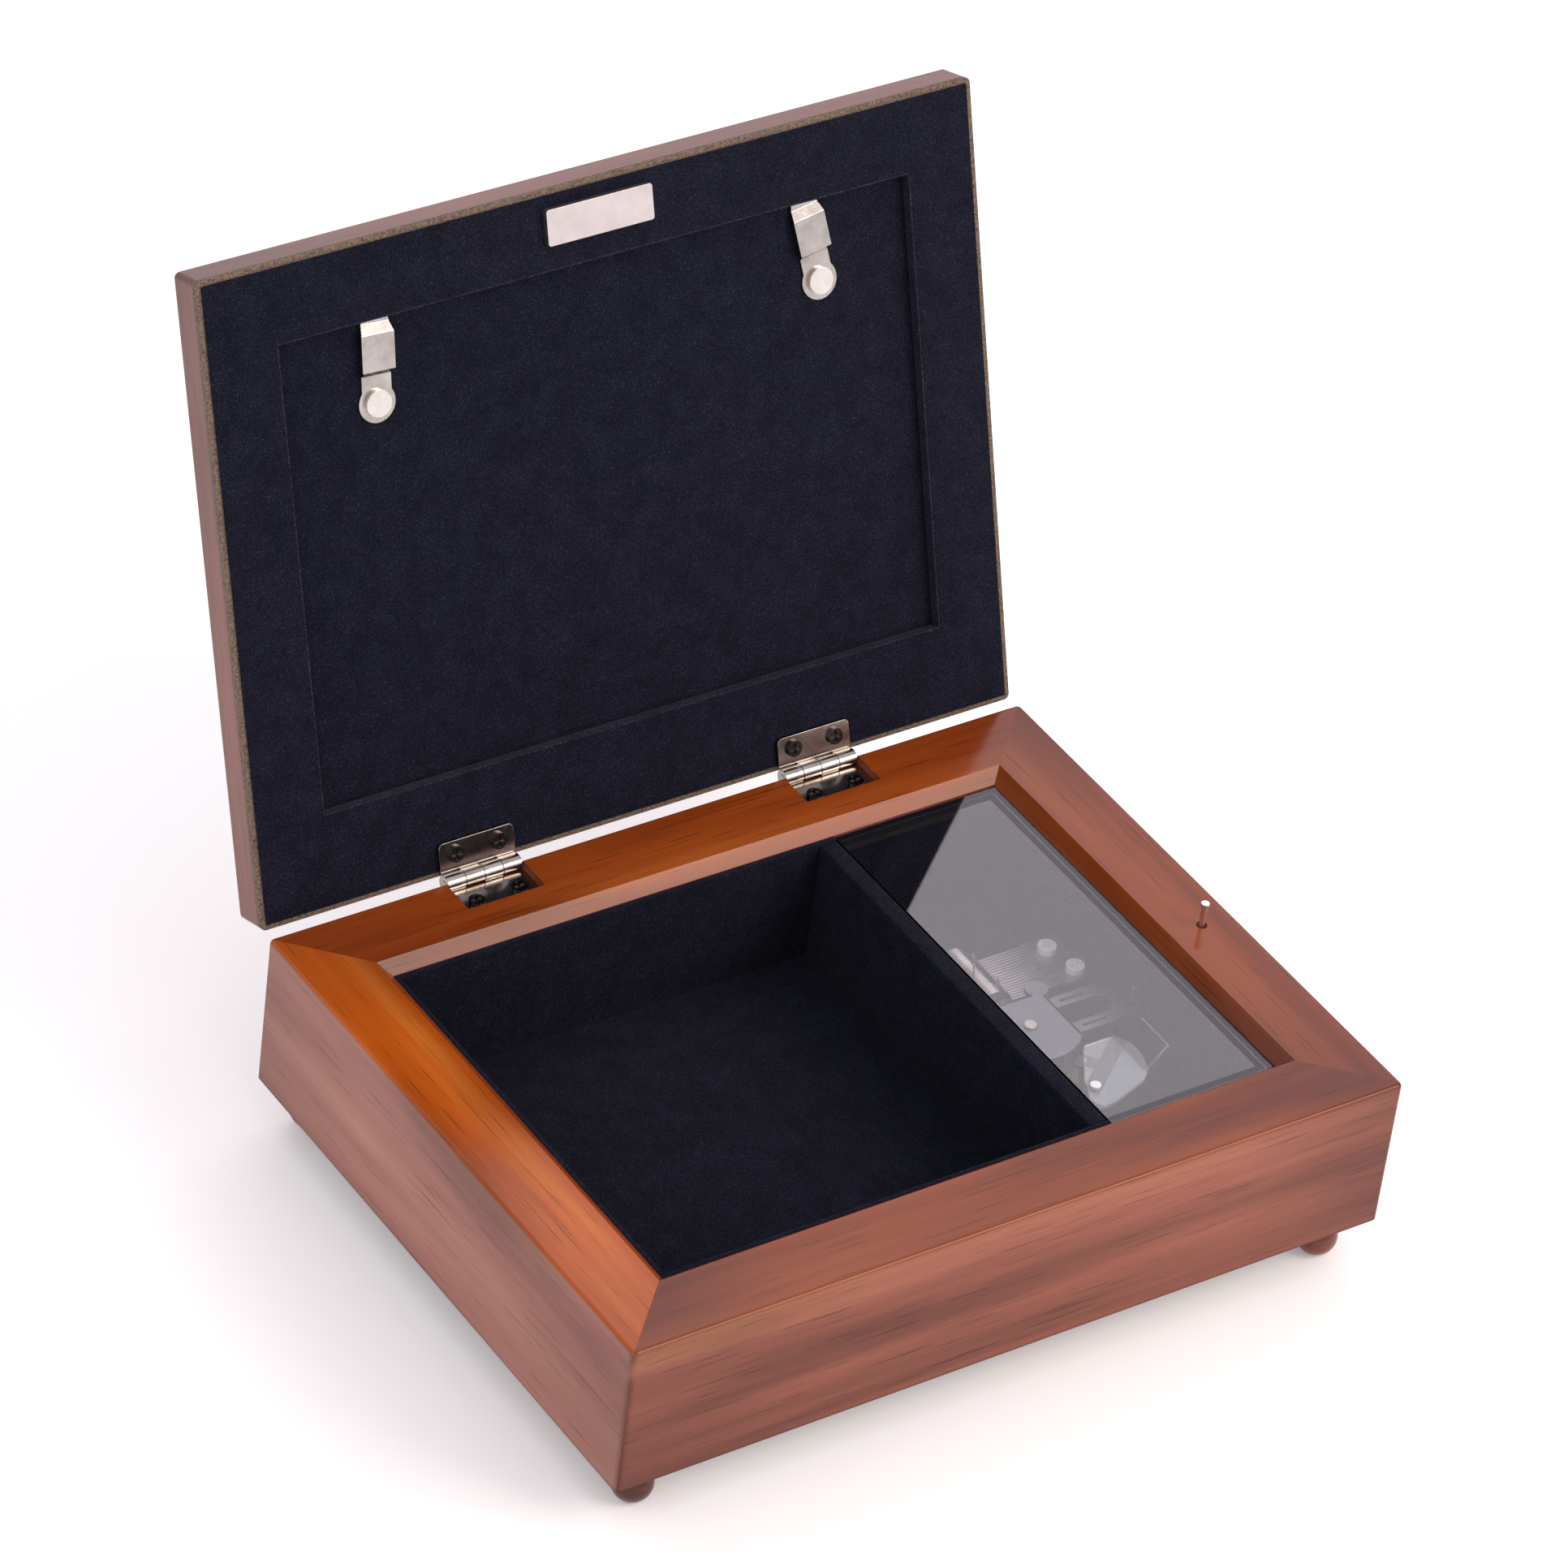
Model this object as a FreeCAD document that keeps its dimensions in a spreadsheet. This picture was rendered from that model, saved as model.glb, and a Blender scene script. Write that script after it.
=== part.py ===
import FreeCAD, Part
import math
import os
import re

# A wind-up music box with a picture-frame lid, modelled with its lid open.
# Millimetres, +X to the right, +Y to the back, +Z up. The pieces are placed from the table under the
# case's centre, and written from the table under the middle of the whole open box.

doc = FreeCAD.newDocument("music_box")
sheet = doc.addObject("Spreadsheet::Sheet", "sizes")

SIZES = [
    # case
    ("case_width", 235.0),
    ("case_depth", 177.1),
    ("case_height", 45.85),
    ("wall_thickness", 7.0),
    ("corner_radius", 1.6),
    ("edge_radius", 1.2),
    ("rail_width", 20.3),
    ("rail_thickness", 6.5),
    ("rail_chamfer", 3.3),
    ("bottom_thickness", 3.1),
    # ball feet
    ("foot_height", 13.3),
    ("foot_radius", 5.6),
    ("foot_neck_radius", 3.6),
    ("foot_flat", 0.45),
    ("foot_inset_side", 11.6),
    ("foot_inset_front", 9.2),
    # lining and glass
    ("liner_thickness", 1.6),
    ("pad_thickness", 2.2),
    ("bay_width", 50.1),
    ("divider_thickness", 5.5),
    ("glass_drop", 3.8),
    ("glass_thickness", 2.0),
    ("glass_gap", 0.3),
    ("ledge_size", 2.0),
    # hinges
    ("hinge_from_side", 64.8),
    ("hinge_width", 22.7),
    ("hinge_behind", 0.93),
    ("hinge_below", 1.27),
    ("gain_gap", 0.3),
    ("leaf_thickness", 1.3),
    ("leaf_corner", 1.5),
    ("base_leaf_reach", 12.4),
    ("lid_leaf_reach", 10.8),
    ("knuckle_radius", 2.4),
    ("knuckle_gap", 0.15),
    ("knuckle_clearance", 0.3),
    ("hinge_pin_radius", 1.0),
    ("running_gap", 0.05),
    ("screw_spacing", 13.0),
    ("screw_from_edge", 3.6),
    ("screw_head_radius", 2.3),
    ("screw_head_height", 0.9),
    ("screw_shank_radius", 1.2),
    ("screw_length", 2.6),
    ("screw_slot", 0.6),
    # lid
    ("lid_inset", 0.4),
    ("lid_thickness", 12.1),
    ("lid_gap", 1.0),
    ("open_angle", 108.4),
    ("velvet_thickness", 0.6),
    ("velvet_margin", 1.5),
    ("board_thickness", 1.4),
    ("border_side", 20.9),
    ("border_back", 26.2),
    ("border_front", 21.3),
    ("panel_drop", 3.3),
    ("panel_thickness", 2.5),
    ("panel_gap", 0.3),
    ("card_side_gap", 7.2),
    ("card_gap", 0.9),
    ("card_thickness", 0.3),
    ("pane_thickness", 2.0),
    ("sight_side_cover", 10.2),
    ("sight_cover", 3.9),
    ("sight_bevel", 3.0),
    ("groove_reach", 4.5),
    ("plate_width", 32.0),
    ("plate_depth", 9.8),
    ("plate_thickness", 1.9),
    ("plate_corner", 0.8),
    ("plate_from_front", 4.8),
    # lid clips
    ("clip_from_side", 28.7),
    ("clip_from_front", 23.6),
    ("clip_thickness", 0.6),
    ("clip_eye_radius", 5.35),
    ("clip_neck_width", 8.7),
    ("clip_body_width", 9.6),
    ("clip_tip_width", 6.0),
    ("clip_lift", 1.8),
    ("clip_tip_lift", 0.37),
    ("clip_flange", 1.1),
    ("clip_neck_end", 7.5),
    ("clip_body_start", 8.9),
    ("clip_body_end", 18.9),
    ("clip_tip_start", 21.4),
    ("clip_tip_end", 26.0),
    ("clip_lean_left", 3.0),
    ("clip_lean_right", 9.0),
    ("rivet_radius", 2.0),
    ("rivet_head_radius", 3.7),
    ("rivet_head_height", 1.1),
    # stop pin and its lever
    ("stop_pin_radius", 0.8),
    ("stop_head_radius", 1.15),
    ("stop_head_height", 0.9),
    ("stop_proud", 7.4),
    ("stop_place", -12.0),
    ("stop_counterbore", 1.5),
    ("wire_radius", 0.5),
    ("lever_reach", 31.0),
    ("lever_height", 17.25),
    ("lever_rise", 6.5),
    ("lever_end", 1.2),
    ("lever_gap", 0.2),
    ("lever_tilt", 22.2),
    ("fan_gap", 0.5),
    # movement
    ("drum_inset", 15.8),
    ("drum_place", -8.3),
    ("bed_thickness", 2.0),
    ("bed_width", 47.2),
    ("bed_front", 34.7),
    ("bed_back", 39.8),
    ("bed_left", 13.8),
    ("bed_corner", 3.0),
    ("bed_screw_inset", 4.0),
    ("drum_radius", 10.3),
    ("drum_wall", 0.8),
    ("drum_top", 18.5),
    ("drum_floor", 4.75),
    ("gear_height", 3.9),
    ("gear_radius", 13.5),
    ("tooth_rise", 0.45),
    ("tooth_fall", 0.55),
    ("arbor_radius", 2.0),
    ("arbor_end_radius", 1.75),
    ("arbor_proud", 0.6),
    ("bridge_gap", 0.5),
    ("bridge_thickness", 1.25),
    ("bridge_radius", 13.7),
    ("bridge_flat", 10.0),
    ("bridge_post_radius", 1.6),
    ("bridge_post_reach", 15.9),
    ("spring_pitch", 0.75),
    ("spring_strip", 0.3),
    ("spring_gap", 0.6),
    ("key_width", 22.0),
    ("key_thickness", 2.6),
    ("key_height", 9.0),
    ("key_clearance", 2.2),
    ("key_corner", 2.2),
    ("key_collar_radius", 3.4),
    ("key_hole_radius", 5.0),
    ("cylinder_height", 12.75),
    ("cylinder_radius", 6.5),
    ("cylinder_length", 20.0),
    ("cylinder_bore", 1.5),
    ("pin_height", 0.8),
    ("pin_radius", 0.25),
    ("pivot_radius", 1.0),
    ("pinion_radius", 4.5),
    ("pinion_face", 1.3),
    ("bearing_width", 7.0),
    ("bearing_thickness", 1.3),
    ("bearing_gap", 0.45),
    ("comb_pitch", 1.0),
    ("comb_slot", 0.3),
    ("comb_thickness", 1.0),
    ("comb_tip_gap", 0.12),
    ("comb_tooth_length", 14.5),
    ("comb_tooth_growth", 3.0),
    ("comb_base_depth", 11.0),
    ("comb_end", 0.6),
    ("comb_screw_radius", 1.4),
    ("comb_screw_head", 2.6),
    ("comb_screw_height", 1.9),
    ("comb_screw_length", 5.6),
    ("back_screw_inset", 5.6),
    ("back_screw_end", 5.2),
    ("front_screw_inset", 3.35),
    ("front_screw_end", 3.9),
    # governor
    ("governor_pinion_radius", 3.375),
    ("governor_wheel_radius", 4.4),
    ("governor_wheel_face", 1.0),
    ("governor_arbor_radius", 0.8),
    ("worm_height", 11.15),
    ("worm_radius", 1.35),
    ("worm_shaft_radius", 0.5),
    ("fan_radius", 4.5),
    ("fan_thickness", 0.5),
    ("fan_start", 5.6),
    ("fan_length", 4.5),
    ("post_before", 6.5),
    ("post_after", 12.0),
    ("post_radius", 1.5),
    ("governor_top", 16.2),
    ("governor_plate", 1.0),
    # U-shaped bracket of the stop lever
    ("bracket_start", 11.5),
    ("bracket_top", 19.25),
    ("bracket_thickness", 2.2),
    ("bracket_width", 15.1),
    ("bracket_arm", 4.1),
    ("bracket_length", 18.7),
    ("bracket_offset", 0.65),
    ("bracket_slot_length", 7.5),
    ("bracket_slot_width", 1.0),
]

for row, (alias, size) in enumerate(SIZES, 1):
    sheet.set("A%d" % row, alias)
    sheet.set("B%d" % row, str(size))
    sheet.setAlias("B%d" % row, alias)
doc.recompute()

# Counts of repeated features
DRUM_TEETH = 60
PINION_TEETH = 20
GOVERNOR_PINION_TEETH = 15
GOVERNOR_WHEEL_TEETH = 16
COMB_TEETH = 18
PINS_PER_TRACK = 5
KNUCKLES = 4
SPRING_TURNS = 8
WORM_TURNS = 4

# Directions in plan, in degrees from +X
GOVERNOR_DIRECTION = -66.0
WORM_DIRECTION = -53.13
POST_DIRECTIONS = (50, 135, 233)

# Faces and levels that several pieces share, worked out once from the sheet
LEVELS = {
    "rim_top": "foot_height + case_height",
    "rail_bottom": "rim_top - rail_thickness",
    "chamfer_bottom": "rim_top - rail_chamfer",
    "floor_top": "foot_height + bottom_thickness",
    "half_width": "case_width / 2",
    "half_depth": "case_depth / 2",
    "rail_x": "half_width - rail_width",
    "rail_y": "half_depth - rail_width",
    "inside_x": "rail_x - rail_chamfer",
    "inside_y": "rail_y - rail_chamfer",
    "tray_x": "inside_x - liner_thickness",
    "tray_y": "inside_y - liner_thickness",
    "divider_right": "tray_x - bay_width",
    "divider_left": "divider_right - divider_thickness",
    "glass_top": "rim_top - glass_drop",
    "glass_bottom": "glass_top - glass_thickness",
    "axis_y": "half_depth + hinge_behind",
    "axis_z": "rim_top - hinge_below",
    "hinge_place": "half_width - hinge_from_side",
    "lid_width": "case_width - 2 * lid_inset",
    "lid_depth": "case_depth - 2 * lid_inset",
    "lid_back": "hinge_behind + lid_inset",
    "lid_front": "-lid_back - lid_depth",
    "lid_face": "hinge_below + lid_gap",
    "board_face": "lid_face + velvet_thickness",
    "frame_face": "board_face + board_thickness",
    "lid_top": "lid_face + lid_thickness",
    "panel_face": "lid_face + panel_drop",
    "card_face": "panel_face + panel_thickness",
    "pane_face": "card_face + card_thickness",
    "lip_face": "pane_face + pane_thickness",
    "opening_width": "lid_width - 2 * border_side",
    "opening_depth": "lid_depth - border_back - border_front",
    "opening_front": "lid_front + border_front",
    "opening_middle": "opening_front + opening_depth / 2",
    "sight_width": "opening_width - 2 * sight_side_cover",
    "sight_depth": "opening_depth - 2 * sight_cover",
    "card_width": "opening_width - 2 * card_side_gap",
    "card_depth": "opening_depth - 2 * card_gap",
    "clip_place": "opening_width / 2 - clip_from_side",
    "clip_y": "opening_front + clip_from_front",
    "stop_x": "half_width - rail_width / 2",
    "stop_top": "rim_top + stop_proud",
    "bed_top": "floor_top + bed_thickness",
    "drum_x": "divider_right + drum_inset",
    "drum_bottom": "bed_top + drum_floor",
    "gear_top": "drum_bottom + gear_height",
    "drum_lid": "bed_top + drum_top",
    "bridge_bottom": "drum_lid + bridge_gap",
    "bridge_top": "bridge_bottom + bridge_thickness",
    "cylinder_z": "bed_top + cylinder_height",
    "pinion_y": "drum_place + gear_radius - tooth_fall + running_gap",
    "bearing_y": "pinion_y + pinion_face + bearing_gap",
    "cylinder_y": "bearing_y + bearing_thickness + bearing_gap",
    "cylinder_end": "cylinder_y + cylinder_length",
    "comb_x": "drum_x + cylinder_radius + pin_height + comb_tip_gap",
    "comb_z": "cylinder_z - comb_thickness / 2",
    "worm_z": "bed_top + worm_height",
    "strap_z": "bed_top + governor_top",
    "lever_x": "drum_x + lever_reach",
    "lever_z": "bed_top + lever_height",
    "lever_level": "lever_z + lever_rise",
    "bracket_x": "drum_x + bracket_start",
    "bracket_y": "drum_place + bracket_offset",
    "bracket_z": "bed_top + bracket_top",
}

levels = doc.addObject("App::VarSet", "levels")


def tied(text):
    """An expression in which each name says where it is kept, in the sheet or among the levels."""
    def full(word):
        name = word.group(0)
        return ("levels." if name in LEVELS else "sizes.") + name
    return re.sub(r"[a-z]\w*", full, text)


for name, text in LEVELS.items():
    levels.addProperty("App::PropertyFloat", name)
    levels.setExpression(name, tied(text))
doc.recompute()


def value(name):
    """The present number behind a size or a level, for outlines that are drawn point by point."""
    return getattr(levels, name) if name in LEVELS else float(sheet.get(name))


parts = []


def part(label, thing):
    """Name a finished piece of the object."""
    thing.Label = label
    parts.append(thing)
    return thing


def place(thing, x, y, z):
    for axis, text in zip("xyz", (x, y, z)):
        thing.setExpression("Placement.Base." + axis, tied(text))
    return thing


def block(x, y, z):
    """A box between its low and high faces, each pair given as expressions."""
    thing = doc.addObject("Part::Box", "block")
    for side, (low, high) in zip(("Length", "Width", "Height"), (x, y, z)):
        thing.setExpression(side, tied("(%s) - (%s)" % (high, low)))
    return place(thing, x[0], y[0], z[0])


def rod(radius, x, y, z):
    """A round bar along the one axis that is given as a low and a high end."""
    thing = doc.addObject("Part::Cylinder", "rod")
    thing.setExpression("Radius", tied(radius))
    start = [x, y, z]
    for number, turn in enumerate((((0, 1, 0), 90), ((1, 0, 0), -90), ((0, 0, 1), 0))):
        if isinstance(start[number], tuple):
            low, high = start[number]
            thing.setExpression("Height", tied("(%s) - (%s)" % (high, low)))
            start[number] = low
            axis, angle = turn
            thing.Placement.Rotation = FreeCAD.Rotation(FreeCAD.Vector(*axis), angle)
    return place(thing, *start)


def ball(radius, x, y, z):
    thing = doc.addObject("Part::Sphere", "ball")
    thing.setExpression("Radius", tied(radius))
    return place(thing, x, y, z)


def fuse(*things):
    if len(things) == 1:
        return things[0]
    thing = doc.addObject("Part::MultiFuse", "joined")
    thing.Shapes = list(things)
    return thing


def cut(base, *tools):
    thing = doc.addObject("Part::Cut", "cut")
    thing.Base = base
    thing.Tool = fuse(*tools)
    return thing


def common(first, second):
    thing = doc.addObject("Part::Common", "common")
    thing.Base = first
    thing.Tool = second
    return thing


def group(*things):
    """Like pieces that share one name, each a solid of its own."""
    thing = doc.addObject("Part::Compound", "group")
    thing.Links = list(things)
    return thing


def drawn(shape):
    """A piece whose outline is worked out point by point."""
    thing = doc.addObject("Part::Feature", "drawn")
    thing.Shape = shape
    return thing


def frustum(low, high, y_centre, z):
    """A four-sided taper between two half sizes, from its lower level to its upper one."""
    thing = doc.addObject("Part::Wedge", "taper")
    for key, text in (("Xmin", "-(%s)" % low[0]), ("Xmax", low[0]), ("X2min", "-(%s)" % high[0]),
                      ("X2max", high[0]), ("Zmin", "-(%s)" % low[1]), ("Zmax", low[1]),
                      ("Z2min", "-(%s)" % high[1]), ("Z2max", high[1]), ("Ymin", z[0]), ("Ymax", z[1])):
        thing.setExpression(key, tied(text))
    thing.Placement.Rotation = FreeCAD.Rotation(FreeCAD.Vector(1, 0, 0), 90)
    return place(thing, "0", y_centre, "0")


def mitre(length, reach, z, turn, x, y):
    """A bar with both ends cut at 45 degrees, its long face outwards."""
    thing = doc.addObject("Part::Wedge", "mitre")
    half = "(%s) / 2" % length
    for key, text in (("Xmin", "-" + half), ("Xmax", half), ("X2min", "(%s) - %s" % (reach, half)),
                      ("X2max", "%s - (%s)" % (half, reach)), ("Ymin", "0"), ("Ymax", reach),
                      ("Zmin", z[0]), ("Zmax", z[1]), ("Z2min", z[0]), ("Z2max", z[1])):
        thing.setExpression(key, tied(text))
    thing.Placement.Rotation = FreeCAD.Rotation(FreeCAD.Vector(0, 0, 1), turn)
    return place(thing, x, y, "0")


def rounded(base, radius, wanted):
    """Round the edges that the test picks out."""
    doc.recompute()
    thing = doc.addObject("Part::Fillet", "rounded")
    thing.Base = base
    amount = value(radius)
    picked = [number for number, edge in enumerate(base.Shape.Edges, 1) if wanted(edge)]
    thing.Edges = [(number, amount, amount) for number in picked]
    return thing


def upright(edge):
    first, last = edge.Vertexes[0].Point, edge.Vertexes[-1].Point
    return abs(first.z - last.z) > 1e-6 and abs(first.x - last.x) + abs(first.y - last.y) < 1e-6


def at_level(level):
    """A test for edges that lie wholly at one height."""
    def test(edge):
        return all(abs(vertex.Point.z - level) < 1e-6 for vertex in edge.Vertexes)
    return test


def four_sides(ring, width, depth, reach, z, y_centre):
    """A frame's ring cut along its mitres into a bar for each side."""
    back = "(%s) + (%s) / 2" % (y_centre, depth)
    front = "(%s) - (%s) / 2" % (y_centre, depth)
    sides = (("front", width, 0, "0", front), ("right", depth, 90, "(%s) / 2" % width, y_centre),
             ("back", width, 180, "0", back), ("left", depth, 270, "-(%s) / 2" % width, y_centre))
    return {name: common(ring, mitre(length, reach, z, turn, x, y)) for name, length, turn, x, y in sides}


# Case: four mitred walls under four mitred rim rails, one continuous lacquered outside
case_z = ("foot_height", "rail_bottom")
wall_outside = rounded(block(("-half_width", "half_width"), ("-half_depth", "half_depth"), case_z),
                       "corner_radius", upright)
wall_inside = block(("wall_thickness - half_width", "half_width - wall_thickness"),
                    ("wall_thickness - half_depth", "half_depth - wall_thickness"), case_z)
walls = four_sides(cut(wall_outside, wall_inside), "case_width", "case_depth", "2 * wall_thickness",
                   case_z, "0")
for side, bar in walls.items():
    part("case_%s_wall" % side, bar)

rail_z = ("rail_bottom", "rim_top")
rim_block = rounded(block(("-half_width", "half_width"), ("-half_depth", "half_depth"), rail_z),
                    "corner_radius", upright)
rim_outside = rounded(rim_block, "edge_radius", at_level(value("rim_top")))
rim_hole = block(("-inside_x", "inside_x"), ("-inside_y", "inside_y"), rail_z)
rim_chamfer = frustum(("inside_x", "inside_y"), ("rail_x", "rail_y"), "0", ("chamfer_bottom", "rim_top"))
rails = four_sides(cut(rim_outside, rim_hole, rim_chamfer), "case_width", "case_depth",
                   "rail_width + 2 * rail_chamfer", rail_z, "0")

# Hinge gains and screw holes in the back rail, the stop pin's hole in the right rail
leaf_bottom = "axis_z - knuckle_radius"
leaf_top = "axis_z - knuckle_radius + leaf_thickness"
hinge_sides = (("left", "-hinge_place"), ("right", "hinge_place"))
gain_half = "(hinge_width / 2 + gain_gap)"
base_screw_y = "axis_y - base_leaf_reach + screw_from_edge"
base_screw_places = ["%s %s screw_spacing / 2" % (middle, sign)
                     for side, middle in hinge_sides for sign in "-+"]
rail_cuts = [block(("%s - %s" % (middle, gain_half), "%s + %s" % (middle, gain_half)),
                   ("axis_y - base_leaf_reach - gain_gap", "half_depth"), (leaf_bottom, "rim_top"))
             for side, middle in hinge_sides]
rail_cuts += [rod("screw_shank_radius", x, base_screw_y, (leaf_bottom + " - screw_length", leaf_bottom))
              for x in base_screw_places]
stop_cuts = [rod("stop_pin_radius + running_gap", "stop_x", "stop_place", rail_z),
             rod("stop_counterbore", "stop_x", "stop_place",
                 ("rim_top - stop_head_height - lid_gap", "rim_top"))]
part("rim_front_rail", rails["front"])
part("rim_left_rail", rails["left"])
part("rim_back_rail", cut(rails["back"], *rail_cuts))
part("rim_right_rail", cut(rails["right"], *stop_cuts))

# Bottom panel let in between the walls, with a hole for the winding key's collar
panel_plate = block(("wall_thickness - half_width", "half_width - wall_thickness"),
                    ("wall_thickness - half_depth", "half_depth - wall_thickness"),
                    ("foot_height", "floor_top"))
key_hole = rod("key_hole_radius", "drum_x", "drum_place", ("foot_height", "floor_top"))

# Ball feet on short necks, each with a small flat where it stands
feet = []
for side in "-+":
    for end in "-+":
        foot_x = "%s(half_width - foot_inset_side)" % side
        foot_y = "%s(half_depth - foot_inset_front)" % end
        sphere = ball("foot_radius", foot_x, foot_y, "foot_radius - foot_flat")
        neck = rod("foot_neck_radius", foot_x, foot_y, ("foot_radius", "foot_height"))
        under = rod("foot_radius", foot_x, foot_y, ("-foot_radius", "0"))
        feet.append(cut(fuse(sphere, neck), under))
part("ball_feet", group(*feet))

# Lining: velvet on stiff card, standing on the bottom panel inside the rim
liner_z = ("floor_top", "chamfer_bottom")
pane_room = block(("divider_right", "inside_x"), ("-inside_y", "inside_y"),
                  ("glass_bottom", "chamfer_bottom"))
front_liner = block(("-inside_x", "inside_x"), ("-inside_y", "-tray_y"), liner_z)
back_liner = block(("-inside_x", "inside_x"), ("tray_y", "inside_y"), liner_z)
part("front_liner", cut(front_liner, pane_room))
part("back_liner", cut(back_liner, pane_room))
part("left_liner", block(("-inside_x", "-tray_x"), ("-tray_y", "tray_y"), liner_z))
wire_slot = block(("tray_x", "inside_x"), ("stop_place - 2 * wire_radius", "stop_place + 6 * wire_radius"),
                  ("lever_level - lever_rise", "lever_level + 2 * wire_radius"))
right_liner = block(("tray_x", "inside_x"), ("-tray_y", "tray_y"), ("floor_top", "glass_bottom"))
part("right_liner", cut(right_liner, wire_slot))
part("divider", block(("divider_left", "divider_right"), ("-tray_y", "tray_y"),
                      ("floor_top", "glass_top")))
part("tray_floor_pad", block(("-tray_x", "divider_left"), ("-tray_y", "tray_y"),
                             ("floor_top", "floor_top + pad_thickness")))

# Glass over the movement bay, level with the divider, on the liners and the ledge strips glued to them
ledge_z = ("glass_bottom - ledge_size", "glass_bottom")
ledges = [block(("divider_right", "tray_x"), ("-tray_y", "ledge_size - tray_y"), ledge_z),
          block(("divider_right", "tray_x"), ("tray_y - ledge_size", "tray_y"), ledge_z),
          block(("tray_x - ledge_size", "tray_x"), ("ledge_size - tray_y", "tray_y - ledge_size"), ledge_z)]
part("glass_ledges", group(*ledges))
part("glass_pane", block(("divider_right + glass_gap", "inside_x - glass_gap"),
                         ("glass_gap - inside_y", "inside_y - glass_gap"), ("glass_bottom", "glass_top")))


# Hinges: two stamped leaves each, their knuckles turning on one pin
def pan_screw(x, y, face, downwards, head_radius, head_height, shank_radius, length):
    """A cross-slotted screw whose head sits on a face."""
    above, below = ("+", "-") if downwards else ("-", "+")
    head_z = [face, "(%s) %s %s" % (face, above, head_height)]
    shank_z = [face, "(%s) %s (%s)" % (face, below, length)]
    slot_z = ["(%s) %s %s / 2" % (face, above, head_height), "(%s) %s 2 * %s" % (face, above, head_height)]
    if not downwards:
        head_z.reverse()
        slot_z.reverse()
    else:
        shank_z.reverse()
    body = fuse(rod(head_radius, x, y, tuple(head_z)), rod(shank_radius, x, y, tuple(shank_z)))
    long_half = "0.7 * %s" % head_radius
    slots = [block(("%s - %s" % (x, long_half), "%s + %s" % (x, long_half)),
                   ("%s - screw_slot / 2" % y, "%s + screw_slot / 2" % y), slot_z),
             block(("%s - screw_slot / 2" % x, "%s + screw_slot / 2" % x),
                   ("%s - %s" % (y, long_half), "%s + %s" % (y, long_half)), slot_z)]
    return cut(body, *slots)


def hinge_leaf(middle, y, z, reach, plate_z, own_knuckles):
    """A leaf that reaches forwards from the hinge axis, with its share of the knuckles."""
    left = "%s - hinge_width / 2" % middle
    plate_end = "%s - knuckle_radius - knuckle_clearance" % y
    plate = block((left, "%s + hinge_width / 2" % middle), ("%s - %s" % (y, reach), plate_end), plate_z)
    doc.recompute()
    front = plate.Shape.BoundBox.YMin + value("leaf_corner")
    pieces = [rounded(plate, "leaf_corner", lambda edge: upright(edge) and edge.Vertexes[0].Point.y < front)]
    for number in own_knuckles:
        ends = ("%s + %d * hinge_width / %d + knuckle_gap / 2" % (left, number, KNUCKLES),
                "%s + %d * hinge_width / %d - knuckle_gap / 2" % (left, number + 1, KNUCKLES))
        pieces.append(block(ends, (plate_end, y), plate_z))
        pieces.append(rod("knuckle_radius", ends, y, z))
    bore = rod("hinge_pin_radius + running_gap",
               (left + " - knuckle_gap", "%s + hinge_width / 2 + knuckle_gap" % middle), y, z)
    screw_y = "%s - %s + screw_from_edge" % (y, reach)
    holes = [rod("screw_shank_radius + running_gap", "%s %s screw_spacing / 2" % (middle, sign), screw_y,
                 plate_z) for sign in "-+"]
    return cut(fuse(*pieces), bore, *holes)


def on_lid(*things):
    """Swing a piece from the lid's closed place, measured from the hinge axis, to the open one."""
    thing = group(*things)
    thing.Placement.Rotation = FreeCAD.Rotation(FreeCAD.Vector(-1, 0, 0), value("open_angle"))
    thing.setExpression("Placement.Rotation.Angle", tied("open_angle"))
    return place(thing, "0", "axis_y", "axis_z")


lid_leaf_z = ("lid_face - leaf_thickness", "lid_face")
lid_screw_y = "screw_from_edge - lid_leaf_reach"
screw_sizes = ("screw_head_radius", "screw_head_height", "screw_shank_radius")
hinge_pins = []
base_screws = []
lid_screws = []
for side, middle in hinge_sides:
    part("%s_base_leaf" % side, hinge_leaf(middle, "axis_y", "axis_z", "base_leaf_reach",
                                           (leaf_bottom, leaf_top), range(0, KNUCKLES, 2)))
    part("%s_lid_leaf" % side, on_lid(hinge_leaf(middle, "0", "0", "lid_leaf_reach", lid_leaf_z,
                                                 range(1, KNUCKLES, 2))))
    pin_ends = ("%s - hinge_width / 2" % middle, "%s + hinge_width / 2" % middle)
    hinge_pins.append(rod("hinge_pin_radius", pin_ends, "axis_y", "axis_z"))
for x in base_screw_places:
    base_screws.append(pan_screw(x, base_screw_y, leaf_top, True, *screw_sizes,
                                 "leaf_thickness + screw_length"))
    lid_screws.append(pan_screw(x, lid_screw_y, "lid_face - leaf_thickness", False, *screw_sizes,
                                "leaf_thickness + screw_length"))
part("hinge_pins", group(*hinge_pins))
part("base_leaf_screws", group(*base_screws))
part("lid_leaf_screws", on_lid(*lid_screws))

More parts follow.
